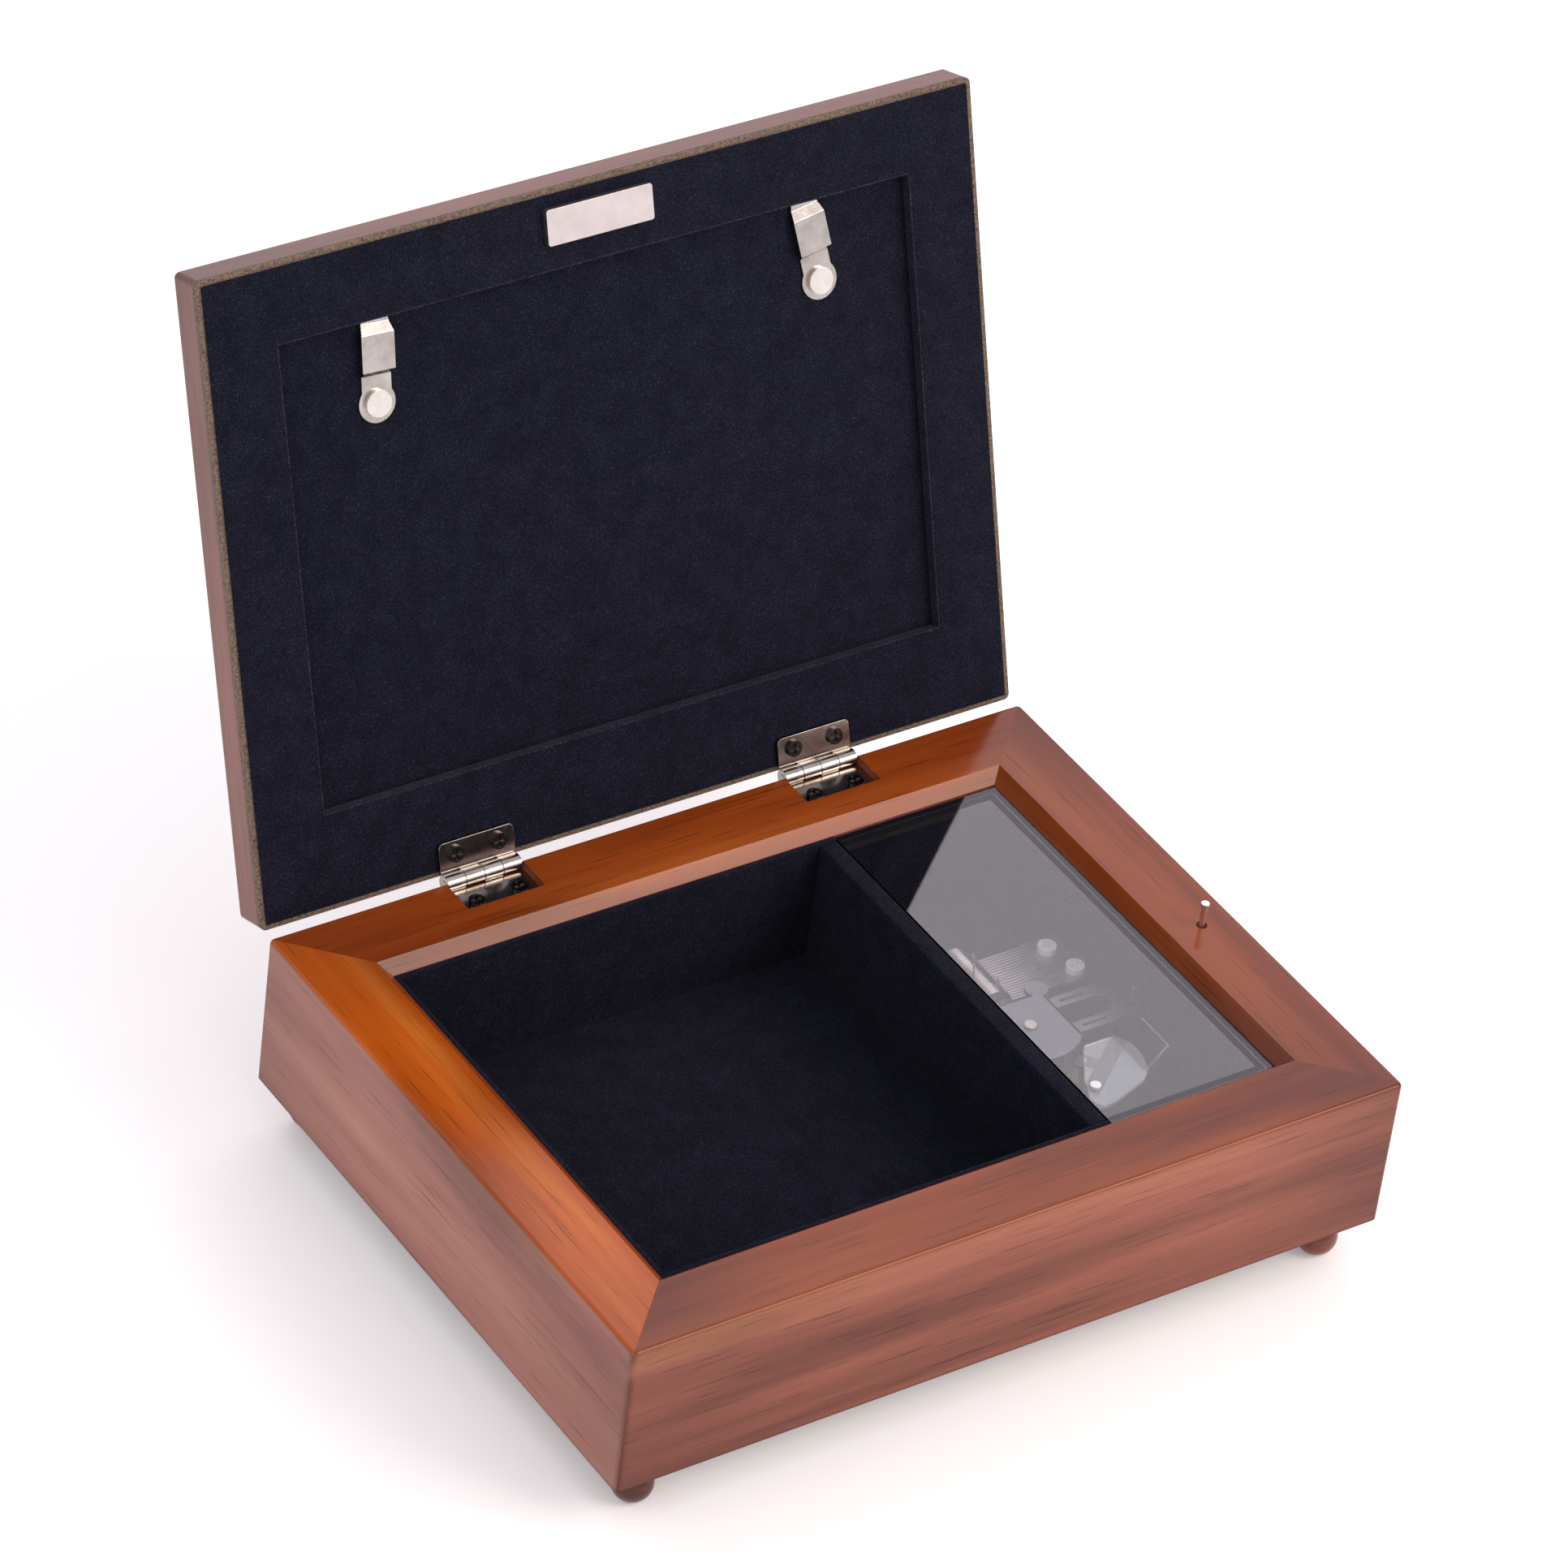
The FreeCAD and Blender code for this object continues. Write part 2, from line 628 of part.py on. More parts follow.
# Lid: a mitred picture frame, measured from the hinge axis as if closed
lid_centre = "-lid_back - lid_depth / 2"
lid_half = "lid_width / 2"
lid_y = ("lid_front", "-lid_back")
opening_x = ("-opening_width / 2", "opening_width / 2")
opening_y = ("opening_front", "opening_front + opening_depth")
frame_z = ("frame_face", "lid_top")
frame_block = rounded(block(("-" + lid_half, lid_half), lid_y, frame_z), "corner_radius", upright)
frame_outside = rounded(frame_block, "edge_radius", at_level(value("lid_top")))
rabbet = block(opening_x, opening_y, ("frame_face", "lip_face"))
sight = block(("-sight_width / 2", "sight_width / 2"),
              ("opening_middle - sight_depth / 2", "opening_middle + sight_depth / 2"),
              ("lip_face", "lid_top"))
sight_edge = frustum(("sight_width / 2", "sight_depth / 2"),
                     ("sight_width / 2 + sight_bevel", "sight_depth / 2 + sight_bevel"),
                     "opening_middle", ("lid_top - sight_bevel", "lid_top"))
groove = block(opening_x, (opening_y[0] + " - groove_reach", opening_y[0]), ("frame_face", "panel_face"))
lid_ring = cut(frame_outside, rabbet, sight, sight_edge, groove)
lid_rails = four_sides(lid_ring, "lid_width", "lid_depth", "(lid_width - sight_width) / 2", frame_z,
                       lid_centre)
lid_screw_holes = [rod("screw_shank_radius", x, lid_screw_y, ("lid_face", "lid_face + screw_length"))
                   for x in base_screw_places]
part("lid_front_rail", on_lid(lid_rails["front"]))
part("lid_left_rail", on_lid(lid_rails["left"]))
part("lid_right_rail", on_lid(lid_rails["right"]))
part("lid_back_rail", on_lid(cut(lid_rails["back"], *lid_screw_holes)))

# Border board glued under the frame, its raw edge showing round the velvet that covers it
border_board = rounded(block(("-" + lid_half, lid_half), lid_y, ("board_face", "frame_face")),
                       "corner_radius", upright)
border_hole = block(opening_x, opening_y, ("lid_face", "frame_face"))
part("lid_border_board", on_lid(cut(border_board, border_hole, *lid_screw_holes)))
velvet = block(("velvet_margin - " + lid_half, lid_half + " - velvet_margin"),
               ("lid_front + velvet_margin", "-lid_back - velvet_margin"),
               ("lid_face", "board_face"))
part("lid_border_velvet", on_lid(cut(velvet, border_hole, *lid_screw_holes)))

# Removable back panel, photo card and pane, held in the frame's rabbet by two clips
clip_sides = (("left", "-clip_place", -1, "clip_lean_left"), ("right", "clip_place", 1, "clip_lean_right"))
rivet_places = [middle for side, middle, sign, lean in clip_sides]
panel = block((opening_x[0] + " + panel_gap", opening_x[1] + " - panel_gap"),
              (opening_y[0] + " + panel_gap", opening_y[1] + " - panel_gap"), ("panel_face", "card_face"))
rivet_holes = [rod("rivet_radius", x, "clip_y", ("panel_face", "card_face")) for x in rivet_places]
part("lid_back_panel", on_lid(cut(panel, *rivet_holes)))
card = block(("-card_width / 2", "card_width / 2"),
             ("opening_middle - card_depth / 2", "opening_middle + card_depth / 2"),
             ("card_face", "pane_face"))
part("photo_card", on_lid(card))
pane = block((opening_x[0] + " + panel_gap", opening_x[1] + " - panel_gap"),
             (opening_y[0] + " + panel_gap", opening_y[1] + " - panel_gap"), ("pane_face", "lip_face"))
part("lid_glass", on_lid(pane))
name_plate = block(("-plate_width / 2", "plate_width / 2"),
                   ("lid_front + plate_from_front", "lid_front + plate_from_front + plate_depth"),
                   ("lid_face - plate_thickness", "lid_face"))
part("name_plate", on_lid(rounded(name_plate, "plate_corner", upright)))
under_head = "panel_face - clip_thickness - running_gap"
rivets = [fuse(rod("rivet_radius", x, "clip_y", ("panel_face", "card_face")),
               rod("rivet_radius - running_gap", x, "clip_y", (under_head, "panel_face")),
               rod("rivet_head_radius", x, "clip_y", (under_head + " - rivet_head_height", under_head)))
          for x in rivet_places]
part("clip_rivets", on_lid(*rivets))


def prism(points, direction):
    """A flat outline given by its corners, pushed out along a direction."""
    corners = [FreeCAD.Vector(*point) for point in points]
    return Part.Face(Part.makePolygon(corners + corners[:1])).extrude(FreeCAD.Vector(*direction))


def clip_shape(lean):
    """A sprung strip with an eye at its rivet: it lies flat, steps up, then dips to its tapered tip."""
    strip = value("clip_thickness")
    lift = value("clip_lift")
    dip = value("clip_tip_lift")
    eye = value("clip_eye_radius")
    run = ((-eye, 0.0), (value("clip_neck_end"), 0.0), (value("clip_body_start"), lift),
           (value("clip_body_end"), lift), (value("clip_tip_start"), dip), (value("clip_tip_end"), dip))
    half = value("clip_body_width") / 2
    widest = max(half, eye)
    side = [(-widest, along, up) for along, up in run]
    side += [(-widest, along, up + strip) for along, up in reversed(run)]
    folded = prism(side, (2 * widest, 0, 0))
    tall = (0, 0, lift + 2 * strip)
    low = -strip
    neck = value("clip_neck_width") / 2
    tip = value("clip_tip_width") / 2
    start, end = value("clip_body_start"), value("clip_body_end")
    neck_plan = prism(((-neck, 0, low), (neck, 0, low), (neck, start, low), (-neck, start, low)), tall)
    body_plan = prism(((-half, start, low), (half, start, low), (half, end, low),
                       (tip, value("clip_tip_end"), low), (-tip, value("clip_tip_end"), low),
                       (-half, end, low)), tall)
    eye_plan = Part.makeCylinder(eye, tall[2], FreeCAD.Vector(0, 0, low))
    strip_shape = folded.common(eye_plan.fuse([neck_plan, body_plan]))
    drop = value("clip_flange")
    flanges = [Part.makeBox(strip, end - start - 2 * strip, drop + strip / 2,
                            FreeCAD.Vector(edge, start + strip, lift - drop))
               for edge in (-half, half - strip)]
    hole = Part.makeCylinder(value("rivet_radius"), 2 * strip, FreeCAD.Vector(0, 0, low))
    shape = strip_shape.fuse(flanges).removeSplitter().cut(hole)
    shape.rotate(FreeCAD.Vector(), FreeCAD.Vector(0, 0, 1), lean)
    shape.rotate(FreeCAD.Vector(), FreeCAD.Vector(1, 0, 0), 180)
    return shape


for side, middle, sign, lean in clip_sides:
    shape = clip_shape(sign * value(lean))
    shape.translate(FreeCAD.Vector(sign * value("clip_place"), value("clip_y"), value("panel_face")))
    part("%s_clip" % side, on_lid(drawn(shape)))

# Stop pin: the closing lid presses it down through the right rail on to the lever
under_pin_head = "stop_top - stop_head_height"
pin_foot = "lever_level + wire_radius + lever_gap"
pin_stem = rod("stop_pin_radius", "stop_x", "stop_place", (pin_foot, under_pin_head))
pin_head = rod("stop_head_radius", "stop_x", "stop_place", (under_pin_head, "stop_top"))
part("stop_pin", fuse(pin_stem, pin_head))

# Movement bedplate: one casting with the comb's rest, the cylinder's bearings and the bridge's posts
bed_left_x = "drum_x - bed_left"
bed_right_x = "drum_x - bed_left + bed_width"
bed_front_y = "drum_place - bed_front"
bed_back_y = "drum_place + bed_back"
comb_width = "(%d * comb_pitch + 2 * comb_end)" % COMB_TEETH
comb_front = "(cylinder_y + cylinder_length / 2 - %s / 2)" % comb_width
comb_back = "(cylinder_y + cylinder_length / 2 + %s / 2)" % comb_width
comb_right = "(comb_x + comb_tooth_length + comb_base_depth)"
bed_z = ("floor_top", "bed_top")
bed = rounded(block((bed_left_x, bed_right_x), (bed_front_y, bed_back_y), bed_z), "bed_corner", upright)
comb_rest = block(("comb_x + comb_tooth_length + comb_tooth_growth", comb_right), (comb_front, comb_back),
                  ("bed_top", "comb_z"))
bearing_x = ("drum_x - bearing_width / 2", "drum_x + bearing_width / 2")
bearing_z = ("bed_top", "cylinder_z + bearing_width / 2")
rear_bearing = ("cylinder_end + bearing_gap", "cylinder_end + bearing_gap + bearing_thickness")
bearings = [block(bearing_x, ("bearing_y", "bearing_y + bearing_thickness"), bearing_z),
            block(bearing_x, rear_bearing, bearing_z)]
bearing_bore = rod("pivot_radius + running_gap", "drum_x", ("bearing_y", rear_bearing[1]), "cylinder_z")
post_places = [("drum_x + bridge_post_reach * %.5f" % math.cos(math.radians(angle)),
                "drum_place + bridge_post_reach * %.5f" % math.sin(math.radians(angle)))
               for angle in POST_DIRECTIONS]
posts = [rod("bridge_post_radius", x, y, ("bed_top", "bridge_bottom")) for x, y in post_places]
bed_screw_places = [(x, y) for x in (bed_left_x + " + bed_screw_inset", bed_right_x + " - bed_screw_inset")
                    for y in (bed_front_y + " + bed_screw_inset", bed_back_y + " - bed_screw_inset")]
bed_screw_length = "(bottom_thickness + bed_thickness)"
bed_holes = [rod("screw_shank_radius", x, y, ("foot_height", "bed_top")) for x, y in bed_screw_places]
comb_screw_places = ((comb_right + " - back_screw_inset", comb_back + " - back_screw_end"),
                     (comb_right + " - front_screw_inset", comb_front + " + front_screw_end"))
comb_holes = [rod("comb_screw_radius", x, y, ("comb_z - comb_screw_length", "comb_z + comb_thickness"))
              for x, y in comb_screw_places]
arbor_hole = rod("arbor_radius + running_gap", "drum_x", "drum_place", bed_z)


def polar(centre, radius, angle):
    """A point in plan at a distance and a direction in degrees from another."""
    turn = math.radians(angle)
    return (centre[0] + radius * math.cos(turn), centre[1] + radius * math.sin(turn))


# Governor layout in plan: its wheel beside the drum, its worm along the far side of the wheel
drum_centre = (value("drum_x"), value("drum_place"))
wheel_centre = polar(drum_centre, value("gear_radius") + value("governor_pinion_radius"), GOVERNOR_DIRECTION)
worm_distance = value("governor_wheel_radius") + value("worm_radius")
worm_angle = WORM_DIRECTION + 90


def beside_wheel(along, across):
    """A point in plan measured along the worm and across from the wheel's centre."""
    return polar(polar(wheel_centre, across, WORM_DIRECTION), along, worm_angle)


def upright_rod(radius, centre, low, high):
    return Part.makeCylinder(radius, high - low, FreeCAD.Vector(centre[0], centre[1], low))


def along_worm(shape):
    """Lay a shape that stands on +Z, its +X towards the wheel, along the worm's axis."""
    shape.rotate(FreeCAD.Vector(), FreeCAD.Vector(0, 0, 1), 90)
    shape.rotate(FreeCAD.Vector(), FreeCAD.Vector(0, 1, 0), 90)
    shape.rotate(FreeCAD.Vector(), FreeCAD.Vector(0, 0, 1), worm_angle)
    x, y = beside_wheel(0, worm_distance)
    shape.translate(FreeCAD.Vector(x, y, value("worm_z")))
    return shape


step_hole = drawn(upright_rod(value("governor_arbor_radius") + value("running_gap"), wheel_centre,
                              value("floor_top") + value("bed_thickness") / 2, value("bed_top")))
part("bedplate", cut(fuse(bed, comb_rest, *bearings, *posts), bearing_bore, arbor_hole, step_hole,
                     *bed_holes, *comb_holes))
part("bottom_panel", cut(panel_plate, key_hole, *bed_holes))
part("bedplate_screws", group(*[pan_screw(x, y, "foot_height", False, *screw_sizes, bed_screw_length)
                                for x, y in bed_screw_places]))


# Spring drum, its gear teeth meeting the cylinder's pinion above and the governor's pinion beside
def toothed(teeth, radius, first):
    """Corners of a gear's outline about the origin; a tooth stands at the first angle, in degrees."""
    pitch = 360.0 / teeth
    root, tip = radius - value("tooth_fall"), radius + value("tooth_rise")
    corners = []
    for number in range(teeth):
        middle = first + number * pitch
        for reach, share in ((root, -0.26), (tip, -0.11), (tip, 0.11), (root, 0.26)):
            corners.append(polar((0, 0), reach, middle + share * pitch))
    return corners


def flat_gear(teeth, radius, first, centre, low, high):
    corners = [(x + centre[0], y + centre[1], low) for x, y in toothed(teeth, radius, first)]
    return prism(corners, (0, 0, high - low))


drum_gear = drawn(flat_gear(DRUM_TEETH, value("gear_radius"), 0, drum_centre,
                            value("drum_bottom"), value("gear_top")))
drum_body = rod("drum_radius", "drum_x", "drum_place", ("drum_bottom", "drum_lid"))
drum_hollow = rod("drum_radius - drum_wall", "drum_x", "drum_place",
                  ("drum_bottom + drum_wall", "drum_lid - drum_wall"))
drum_bore = rod("arbor_radius + running_gap", "drum_x", "drum_place", ("drum_bottom", "drum_lid"))
part("spring_drum", cut(fuse(drum_gear, drum_body), drum_hollow, drum_bore))


def spiral_strip():
    """A flat spiral of half circles, each a little wider than the last."""
    pitch = value("spring_pitch")
    strip = value("spring_strip")
    start = value("arbor_radius") + value("spring_gap")
    edges = []
    ends = []
    for extra in (0.0, strip):
        points = []
        for number in range(2 * SPRING_TURNS):
            sign = 1 if number % 2 == 0 else -1
            radius = start + extra + number * pitch / 2
            middle = FreeCAD.Vector(0 if sign > 0 else pitch / 2, 0, 0)
            first, top, last = (middle + FreeCAD.Vector(radius * math.cos(angle), radius * math.sin(angle), 0)
                                for angle in (0 if sign > 0 else math.pi, sign * math.pi / 2,
                                              math.pi if sign > 0 else 2 * math.pi))
            edges.append(Part.Arc(first, top, last).toShape())
            points += [first, last]
        ends.append((points[0], points[-1]))
    edges += [Part.makeLine(ends[0][0], ends[1][0]), Part.makeLine(ends[0][1], ends[1][1])]
    outline = Part.Wire(Part.__sortEdges__(edges))
    low = value("drum_bottom") + 2 * value("drum_wall")
    shape = Part.Face(outline).extrude(FreeCAD.Vector(0, 0, value("drum_lid") - value("drum_wall") * 2 - low))
    shape.translate(FreeCAD.Vector(drum_centre[0], drum_centre[1], low))
    return shape


part("mainspring", drawn(spiral_strip()))

# Bridge over the drum, and the arbor that the key winds
bridge_z = ("bridge_bottom", "bridge_top")
bridge_disc = common(rod("bridge_radius", "drum_x", "drum_place", bridge_z),
                     block(("drum_x - bridge_radius", "drum_x + bridge_flat"),
                           ("drum_place - bridge_radius", "drum_place + bridge_flat"), bridge_z))
bridge_ears = [rod("2 * bridge_post_radius", x, y, bridge_z) for x, y in post_places]
part("drum_bridge", cut(fuse(bridge_disc, *bridge_ears),
                        rod("arbor_end_radius + running_gap", "drum_x", "drum_place", bridge_z)))
arbor_foot = "key_clearance + key_height / 2"
arbor_body = rod("arbor_radius", "drum_x", "drum_place", (arbor_foot, "drum_lid"))
arbor_end = rod("arbor_end_radius", "drum_x", "drum_place", ("drum_lid", "bridge_top + arbor_proud"))
part("winding_arbor", fuse(arbor_body, arbor_end))
key_wing = rounded(block(("drum_x - key_width / 2", "drum_x + key_width / 2"),
                         ("drum_place - key_thickness / 2", "drum_place + key_thickness / 2"),
                         ("key_clearance", "key_clearance + key_height")),
                   "key_corner", lambda edge: abs(edge.Length - value("key_thickness")) < 1e-6)
key_collar = rod("key_collar_radius", "drum_x", "drum_place",
                 ("key_clearance + key_height / 2", "floor_top - running_gap"))
key_bore = rod("arbor_radius", "drum_x", "drum_place", (arbor_foot, "floor_top"))
part("winding_key", cut(fuse(key_wing, key_collar), key_bore))

# Note cylinder: a drum with a track of pins for each tooth of the comb
def pinned_cylinder():
    radius = value("cylinder_radius")
    shape = Part.makeCylinder(radius, value("cylinder_length"), FreeCAD.Vector(), FreeCAD.Vector(0, 1, 0))
    pins = []
    golden_angle = 137.5
    first = (value("cylinder_length") - (COMB_TEETH - 1) * value("comb_pitch")) / 2
    for track in range(COMB_TEETH):
        for number in range(PINS_PER_TRACK):
            turn = math.radians(track * golden_angle + number * 360.0 / PINS_PER_TRACK)
            outwards = FreeCAD.Vector(math.cos(turn), 0, math.sin(turn))
            start = outwards * (radius / 2) + FreeCAD.Vector(0, first + track * value("comb_pitch"), 0)
            length = radius / 2 + value("pin_height")
            pins.append(Part.makeCylinder(value("pin_radius"), length, start, outwards))
    shape = shape.fuse(pins)
    shape = shape.cut(Part.makeCylinder(value("cylinder_bore"), value("cylinder_length"), FreeCAD.Vector(),
                                        FreeCAD.Vector(0, 1, 0)))
    shape.translate(FreeCAD.Vector(value("drum_x"), value("cylinder_y"), value("cylinder_z")))
    return shape


part("note_cylinder", drawn(pinned_cylinder()))
half_step = 180.0 / PINION_TEETH
pinion_corners = [(value("drum_x") + x, value("pinion_y"), value("cylinder_z") + z)
                  for x, z in toothed(PINION_TEETH, value("pinion_radius"), -90 + half_step)]
pinion = drawn(prism(pinion_corners, (0, value("pinion_face"), 0)))
part("cylinder_arbor", fuse(pinion,
                            rod("pivot_radius", "drum_x", ("pinion_y", rear_bearing[1]), "cylinder_z"),
                            rod("cylinder_bore", "drum_x", ("cylinder_y - bearing_gap / 2",
                                                            "cylinder_end + bearing_gap / 2"), "cylinder_z")))


# Comb: one steel plate, its teeth longer towards the front, where the low notes are
def comb_shape():
    pitch = value("comb_pitch")
    tip = value("comb_x")
    front = value("cylinder_y") + (value("cylinder_length") - COMB_TEETH * pitch) / 2
    back = front + COMB_TEETH * pitch
    right = tip + value("comb_tooth_length") + value("comb_base_depth")

    def root(y):
        share = (back - y) / (back - front)
        return tip + value("comb_tooth_length") + value("comb_tooth_growth") * share

    end = value("comb_end")
    corners = [(right, front - end), (root(front), front - end)]
    for number in range(COMB_TEETH):
        low = front + number * pitch + value("comb_slot") / 2
        high = front + (number + 1) * pitch - value("comb_slot") / 2
        corners += [(root(low), low), (tip, low), (tip, high), (root(high), high)]
    corners += [(root(back), back + end), (right, back + end)]
    return prism([(x, y, value("comb_z")) for x, y in corners], (0, 0, value("comb_thickness")))


part("comb", cut(drawn(comb_shape()), *comb_holes))
part("comb_screws", group(*[pan_screw(x, y, "comb_z + comb_thickness", True, "comb_screw_head",
                                      "comb_screw_height", "comb_screw_radius",
                                      "comb_thickness + comb_screw_length")
                            for x, y in comb_screw_places]))

# Governor: a wheel that the drum drives, a worm that the wheel drives, and a fan that the air holds back
running = value("running_gap")
shaft_radius = value("worm_shaft_radius")
strap_z = value("strap_z")
strap_top = strap_z + value("governor_plate")
pillar_along = -value("post_before") - 2 * value("post_radius")
pillar_place = beside_wheel(pillar_along, worm_distance + shaft_radius)
post_before = beside_wheel(-value("post_before"), worm_distance)
post_after = beside_wheel(value("post_after"), worm_distance)
strap_reach = 1.5 * value("post_radius")
strap_ends = (pillar_along - strap_reach, value("post_after") + strap_reach)
strap_sides = (worm_distance - strap_reach, worm_distance + strap_reach)
strap_corners = [(strap_ends[0], strap_sides[0]), (-strap_reach, strap_sides[0]),
                 (-strap_reach, -strap_reach), (strap_reach, -strap_reach), (strap_reach, strap_sides[0]),
                 (strap_ends[1], strap_sides[0]), (strap_ends[1], strap_sides[1]),
                 (strap_ends[0], strap_sides[1])]
strap = prism([beside_wheel(*corner) + (strap_z,) for corner in strap_corners], (0, 0, strap_top - strap_z))
frame_posts = [upright_rod(value("post_radius"), place_in_plan, value("bed_top"), strap_z)
               for place_in_plan in (pillar_place, post_before, post_after)]
worm_length = value("post_before") + value("post_after") + 2 * value("post_radius")
shaft_start = FreeCAD.Vector(0, 0, -value("post_before") - value("post_radius"))
shaft_bore = along_worm(Part.makeCylinder(shaft_radius + running, worm_length, shaft_start))
wheel_bore = upright_rod(value("governor_arbor_radius") + running, wheel_centre, strap_z, strap_top)
governor_screw_radius = value("screw_shank_radius") / 2
cover_z = strap_top
cover_top = cover_z + value("governor_plate")
screw_end = strap_z - 2 * value("governor_plate")
screw_bore = upright_rod(governor_screw_radius, pillar_place, screw_end, cover_top)
frame = strap.fuse(frame_posts).removeSplitter()
part("governor_frame", drawn(frame.cut([shaft_bore, wheel_bore, screw_bore])))

wheel_low = value("worm_z") - value("governor_wheel_face") / 2
towards_drum = GOVERNOR_DIRECTION + 180
towards_worm = WORM_DIRECTION
governor_pinion = flat_gear(GOVERNOR_PINION_TEETH, value("governor_pinion_radius"),
                            towards_drum + 180.0 / GOVERNOR_PINION_TEETH, wheel_centre,
                            value("drum_bottom") + value("bridge_gap"),
                            value("gear_top") - value("bridge_gap"))
governor_wheel = flat_gear(GOVERNOR_WHEEL_TEETH, value("governor_wheel_radius"),
                           towards_worm + 180.0 / GOVERNOR_WHEEL_TEETH, wheel_centre, wheel_low,
                           wheel_low + value("governor_wheel_face"))
governor_arbor = upright_rod(value("governor_arbor_radius"), wheel_centre,
                             value("bed_top") - value("bed_thickness") / 2 + running, strap_top - running)
part("governor_wheel", drawn(governor_arbor.fuse([governor_pinion, governor_wheel]).removeSplitter()))


def worm_shape():
    """A shaft with a screw thread whose lead is the governor wheel's tooth pitch."""
    lead = 2 * math.pi * value("governor_wheel_radius") / GOVERNOR_WHEEL_TEETH
    length = WORM_TURNS * lead
    core = value("worm_radius") - value("tooth_fall")
    crest = value("worm_radius") + value("tooth_rise")
    sunk = (core + shaft_radius) / 2
    start = -length / 2
    helix = Part.makeHelix(lead, length, core)
    helix.translate(FreeCAD.Vector(0, 0, start))
    section = [FreeCAD.Vector(radius, 0, start + share * lead)
               for radius, share in ((sunk, -0.24), (crest, -0.1), (crest, 0.1), (sunk, 0.24))]
    thread = Part.Wire(helix).makePipeShell([Part.makePolygon(section + section[:1])], True, True)
    body = Part.makeCylinder(core, length + lead, FreeCAD.Vector(0, 0, -(length + lead) / 2))
    shaft = Part.makeCylinder(shaft_radius, worm_length, shaft_start)
    return along_worm(shaft.fuse([body, thread]))


part("governor_worm", drawn(worm_shape()))
fan_reach = value("fan_radius")
fan_middle = FreeCAD.Vector(-fan_reach, -value("fan_thickness") / 2, value("fan_start"))
fan = Part.makeBox(2 * fan_reach, value("fan_thickness"), value("fan_length"), fan_middle)
fan_hub = Part.makeCylinder(2 * shaft_radius, value("fan_length"), FreeCAD.Vector(0, 0, value("fan_start")))
fan_bore = Part.makeCylinder(shaft_radius, value("fan_length"), FreeCAD.Vector(0, 0, value("fan_start")))
part("governor_fan", drawn(along_worm(fan.fuse(fan_hub).cut(fan_bore))))

# Clear cover over the governor, held by one screw in the frame's pillar
cover_outline = ((-16.3, 10.85), (-11.8, 13.15), (-0.3, 16.85), (3.8, 16.55), (9.0, 13.05), (12.1, 9.05),
                 (12.5, 3.75), (5.1, -1.85), (-7.8, 2.75), (-15.0, 6.75))
cover_corners = [beside_wheel(*corner) + (cover_z,) for corner in cover_outline]
cover_plate = prism(cover_corners, (0, 0, cover_top - cover_z))
cover = rounded(drawn(cover_plate), "bridge_post_radius", upright)
part("governor_cover", cut(cover, drawn(screw_bore)))
screw_head = upright_rod(2.5 * governor_screw_radius, pillar_place, cover_top,
                         cover_top + value("screw_head_height"))
screw_body = upright_rod(governor_screw_radius, pillar_place, screw_end, cover_top)
part("governor_screw", drawn(screw_head.fuse(screw_body)))

# U-shaped bracket that carries the stop lever, cast with two legs and a bearing ear
bracket_half = "bracket_width / 2"
bracket_gap = "(bracket_width / 2 - bracket_arm)"
bracket_bend = "(bracket_x + bracket_length - bracket_width / 2)"
bracket_low = "bracket_z - bracket_thickness"
bracket_plate_z = (bracket_low, "bracket_z")
bracket_sides = ("bracket_y - " + bracket_half, "bracket_y + " + bracket_half)
bracket_plate = fuse(block(("bracket_x", bracket_bend), bracket_sides, bracket_plate_z),
                     rod(bracket_half, bracket_bend, "bracket_y", bracket_plate_z))
inside_sides = ("bracket_y - " + bracket_gap, "bracket_y + " + bracket_gap)
bracket_inside = fuse(block(("bracket_x", bracket_bend), inside_sides, bracket_plate_z),
                      rod(bracket_gap, bracket_bend, "bracket_y", bracket_plate_z))
bracket_slots = []
bracket_legs = []
slot_start = "bracket_x + bracket_thickness"
for sign in "-+":
    arm_middle = "bracket_y %s (%s - bracket_arm / 2)" % (sign, bracket_half)
    slot_sides = (arm_middle + " - bracket_slot_width / 2", arm_middle + " + bracket_slot_width / 2")
    bracket_slots.append(block((slot_start, slot_start + " + bracket_slot_length"), slot_sides,
                               ("bracket_z - bracket_slot_width", "bracket_z")))
    leg_sides = (arm_middle + " - bracket_arm / 2", arm_middle + " + bracket_arm / 2")
    bracket_legs.append(block((slot_start, bracket_bend), leg_sides, ("bed_top", bracket_low)))
ear_y = ("bracket_y - " + bracket_half, "bracket_y - " + bracket_gap)
ear_reach = "3 * wire_radius"
bracket_ear = block((bracket_bend, "lever_x + " + ear_reach), ear_y,
                    ("lever_z - " + ear_reach, "lever_z + " + ear_reach))
ear_bore = rod("wire_radius + running_gap", "lever_x", ear_y, "lever_z")
bracket_flat = cut(bracket_plate, bracket_inside, *bracket_slots)
part("stop_bracket", cut(fuse(bracket_flat, bracket_ear, *bracket_legs), ear_bore))


# Stop lever: one bent wire from under the stop pin, through the bracket's ear, to the governor's fan
def bent_wire(points, radius):
    corners = [FreeCAD.Vector(*point) for point in points]
    runs = [Part.makeCylinder(radius, (end - start).Length, start, end - start)
            for start, end in zip(corners, corners[1:])]
    bends = [Part.makeSphere(radius, corner) for corner in corners[1:-1]]
    return runs[0].fuse(runs[1:] + bends).removeSplitter()


